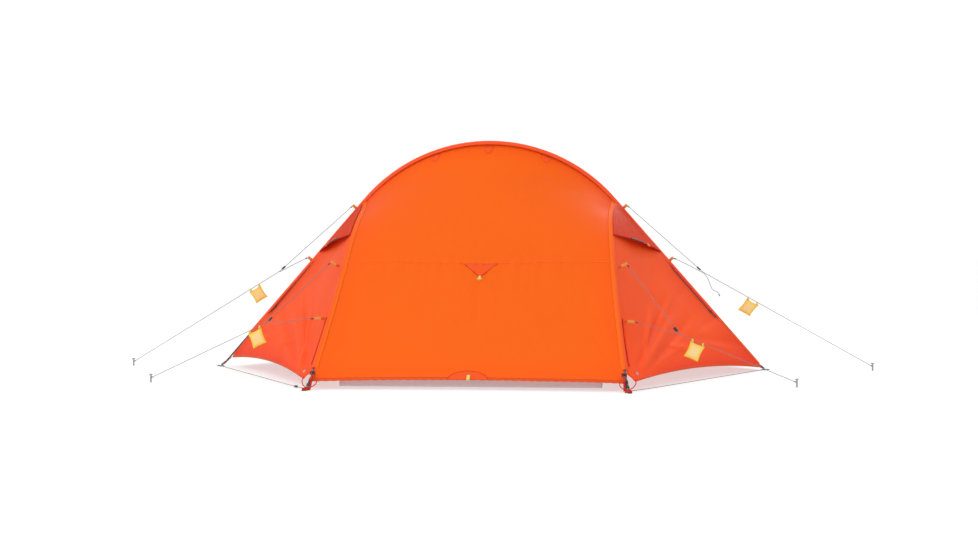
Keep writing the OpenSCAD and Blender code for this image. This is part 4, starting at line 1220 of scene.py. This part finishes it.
rows = np.linspace(0.945, 0, 70)
half, U, V = inner_half_grid(rows, np.linspace(-1, 1, 61))
hung = 0.0030 * np.exp(-((V / 0.03) ** 2)) * np.cos(U * INNER_HALF / 0.2 * math.pi * 2)
edge = ramp_down(np.abs(U), 1, 0.1)
sag = 0.003 * ruffle(U, V, 61, 7, 8) * edge * ramp_down(V, 0.945, 0.1) + hung * edge
half[..., 2] += sag
g = np.concatenate([half, mirror(half, -1)[::-1][1:]])
canopy = cloth("inner_canopy_cloth", g, inner_mat, 0.0006)
put(canopy, "inner_fabric", "inner_canopy")
run = float(np.linalg.norm(np.diff(g[:, 30], axis=0), axis=1).sum())
for k, word in WORDS:
    put(tube(f"inner_canopy_seam_{word}", g[:, 0 if k < 0 else -1], 0.0022, binding_mat, sides=8), "inner_fabric")
o = ribbon("inner_ridge_tape", g[69][3:-3] + np.array([0, 0, 0.0012]), 0.020, (0, 1, 0), binding_mat, thick=0.0010)
put(o, "inner_fabric")

DOOR_HALF, DOOR_H = 0.320, 0.480
INNER_LEN = INNER_SCALE * DEPTH


def arch(grow, k):
    """A point of the inner door's outline, k from 0 at its lower left to 1 at its lower right."""
    r, straight = DOOR_HALF + grow, DOOR_H - DOOR_HALF
    total = 2 * straight + math.pi * r
    s = k * total
    if s < straight:
        return -r, s
    if s > total - straight:
        return r, total - s
    a = (s - straight) / r
    return -r * math.cos(a), straight + r * math.sin(a)


for s, word in WORDS:
    x0 = s * (INNER_HALF - 0.0015)
    base_z = TUB_H + 0.016
    wall_half = INNER_LEN - 0.012
    ks = np.linspace(0, 1, 97)
    hole = np.array([arch(0.004, k) for k in ks])
    outer_y = np.concatenate([np.full(17, -wall_half), np.linspace(-(INNER_LEN - 0.080), INNER_LEN - 0.080, 63),
                              np.full(17, wall_half)])
    top_z = INNER_SCALE * pole_z(np.abs(outer_y) / INNER_SCALE, HOOP_HALF, HOOP_TOP) - 0.014
    low = TUB_H + 0.002
    outer_z = np.concatenate([np.linspace(low, top_z[17], 18)[:-1], top_z[17:80],
                              np.linspace(top_z[79], low, 18)[1:]])
    outer = np.stack([outer_y, outer_z], -1)
    inner_edge = hole + np.array([0, base_z])
    q = np.linspace(0, 1, 22)[:, None, None]
    ring_pts = (1 - q) * inner_edge[None] + q * outer[None]
    fade = 4 * q[..., 0] * (1 - q[..., 0])
    bulge = 0.004 * fade * ruffle(q[..., 0] * np.ones(97), ks[None] * np.ones((22, 1)), 71 + s, 6, 22)
    g = np.stack([x0 + s * bulge, ring_pts[..., 0], ring_pts[..., 1]], -1)
    wall = cloth("w1", g, inner_mat, 0.0006, flip=s > 0)
    below = np.array([[(x0, y, z) for y in np.linspace(-wall_half, wall_half, 50)] for z in np.linspace(low,
            base_z - 0.002, 4)])
    sill = cloth("w2", below, inner_mat, 0.0006, flip=s < 0)
    wall = join(f"inner_wall_{word}_cloth", [wall, sill])
    put(wall, "inner_fabric", "inner_walls")
    o = tube(f"inner_wall_{word}_binding", np.array([[x0 - s * 0.001, y, z] for y, z in inner_edge]), 0.0021,
             binding_mat, sides=8)
    put(o, "inner_fabric")
    # the door: an arched panel with a mesh window, bound and zipped round its edge
    spring = DOOR_H - DOOR_HALF    # where the door's arch begins
    zs = np.concatenate([np.linspace(0.0, spring, 12)[:-1],
                         spring + DOOR_HALF * np.sin(np.linspace(0, math.pi / 2 * 0.985, 34))])
    wide = np.where(zs < spring, DOOR_HALF, np.sqrt(np.maximum(DOOR_HALF**2 - (zs - spring) ** 2, 0))) - 0.001
    k = np.linspace(-1, 1, 41)
    g = np.array([[(x0 + s * 0.0016 * math.sin(3 * kk + 9 * z) * (1 - kk * kk), kk * ww, base_z + z) for kk in k]
                  for z, ww in zip(zs, wide)])
    body = f"inner_door_{word}"
    door = cloth(f"{body}_cloth", g, inner_mat, 0.0006, flip=s < 0)
    put(door, "inner_fabric", body, body=body)
    window = cloth(f"{body}_mesh", g[14:-6, 8:-8] + np.array([s * 0.0012, 0, 0]), mesh_mat, 0.0004, flip=s < 0)
    edge_pts = np.array([[x0 + s * 0.001, y, base_z + z] for y,
                         z in (arch(-0.002, kk) for kk in np.linspace(0, 1, 120))])
    zipper = tube(f"{body}_zip", edge_pts, 0.0019, dark_cord, sides=8)
    w0, w1 = g[14:-6, 8], g[14:-6, -9]
    frame_pts = np.concatenate([w0, g[-7, 8:-8][1:-1], w1[::-1], g[14, 8:-8][::-1][1:]])
    border = tube(f"{body}_window_binding", frame_pts + np.array([s * 0.0014, 0, 0]), 0.0016, binding_mat, sides=8)
    mid = arch(-0.002, 0.42)
    pull = join(f"{body}_zip_pull", [
        block("p", (x0 + s * out, mid[0] + along, base_z + mid[1] - down), ((0, 1, 0), (0, 0, 1), X_AXIS), size,
              black, bevel)
        for out, along, down, size, bevel in ((0.0045, 0, 0, (0.010, 0.008, 0.005), 0.001),
                                              (0.0060, 0.002, 0.017, (0.006, 0.028, 0.0016), 0.0006))])
    for o in (window, zipper, border, pull):
        put(o, "inner_fabric", body=body)

# tub floor: one sheet folded up at its four sides
xs = np.linspace(-INNER_HALF + 0.0012, INNER_HALF - 0.0012, 41)
ys = np.linspace(-INNER_LEN + 0.0012, INNER_LEN - 0.0012, 71)
X, Y = np.meshgrid(xs, ys)
flat_z = 0.0012 + 0.0008 * (1 + ruffle(X, Y, 81, 16, 12))
pieces = [cloth("f", np.stack([X, Y, flat_z], -1), floor_mat, 0.0005)]
loop_pts = np.concatenate([
    np.stack([xs, 0 * xs + ys[0]], -1), np.stack([0 * ys[1:] + xs[-1], ys[1:]], -1),
    np.stack([xs[::-1][1:], 0 * xs[1:] + ys[-1]], -1), np.stack([0 * ys[1:] + xs[0], ys[::-1][1:]], -1)])
zs = np.linspace(0.0015, TUB_H, 8)
wave_out = 0.0010 * np.sin(np.arange(len(loop_pts)) * 0.7)
centre = loop_pts / np.linalg.norm(loop_pts, axis=1, keepdims=True)
wall = np.array([[(*(p - c * abs(wv) * math.sin(math.pi * z / TUB_H)), z) for p, c,
                  wv in zip(loop_pts, centre, wave_out)]
                 for z in zs])
pieces.append(cloth("f", wall, floor_mat, 0.0005))
tub = join("inner_floor_cloth", pieces)
put(tub, "floor_fabric", "inner_floor")
put(tube("inner_floor_binding", [(p[0], p[1], TUB_H - 0.0015) for p in loop_pts], 0.0020, binding_mat, sides=8),
    "inner_fabric")

# ---- CAD nodes that are shown as they are
LOOK = {
    "ridge_pole": pole_mat, "hoop_pole_left": pole_mat, "hoop_pole_right": pole_mat, "pole_ferrules": ferrule_mat,
    "inner_hangers": black,
}
for name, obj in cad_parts.items():
    obj.data.materials.clear()
    obj.data.materials.append(LOOK.get(name, black))

# ---- light and floor
scene.view_settings.view_transform = "Standard"
world = bpy.data.worlds.new("studio")
scene.world = world
world.use_nodes = True
world.node_tree.nodes["Background"].inputs[0].default_value = (1, 1, 1, 1)
world.node_tree.nodes["Background"].inputs[1].default_value = 1.02


def area_light(name, location, target, size, power):
    data = bpy.data.lights.new(name, "AREA")
    data.shape = "DISK"
    data.size = size
    data.energy = power
    lamp = link(bpy.data.objects.new(name, data))
    lamp.location = location
    lamp.rotation_euler = (Vector(target) - Vector(location)).to_track_quat("-Z", "Y").to_euler()
    return lamp


area_light("key", (-2.6, -4.6, 4.6), (0, 0, 0.5), 3.0, 110)
area_light("back", (1.5, 4.5, 4.0), (0, 0, 0.5), 3.0, 70)

n = Nodes("floor_white")
p = n.add("ShaderNodeBsdfPrincipled")
place = n.add("ShaderNodeTexCoord").outputs["Object"]
n.feed(n.mix(n.noise(place, 3, 3), (0.39, 0.39, 0.39, 1), (0.41, 0.41, 0.41, 1)), p, "Base Color")
p.inputs["Emission Color"].default_value = (1, 1, 1, 1)
p.inputs["Emission Strength"].default_value = 0.57
p.inputs["Roughness"].default_value = 0.95
p.inputs["Specular IOR Level"].default_value = 0.1
n.feed(p.outputs[0], n.out, 0)
floor = new_mesh("studio_floor", [(-40, -40, -0.0005), (40, -40, -0.0005), (40, 40, -0.0005), (-40, 40, -0.0005)],
                 [(0, 1, 2, 3)], n.mat)
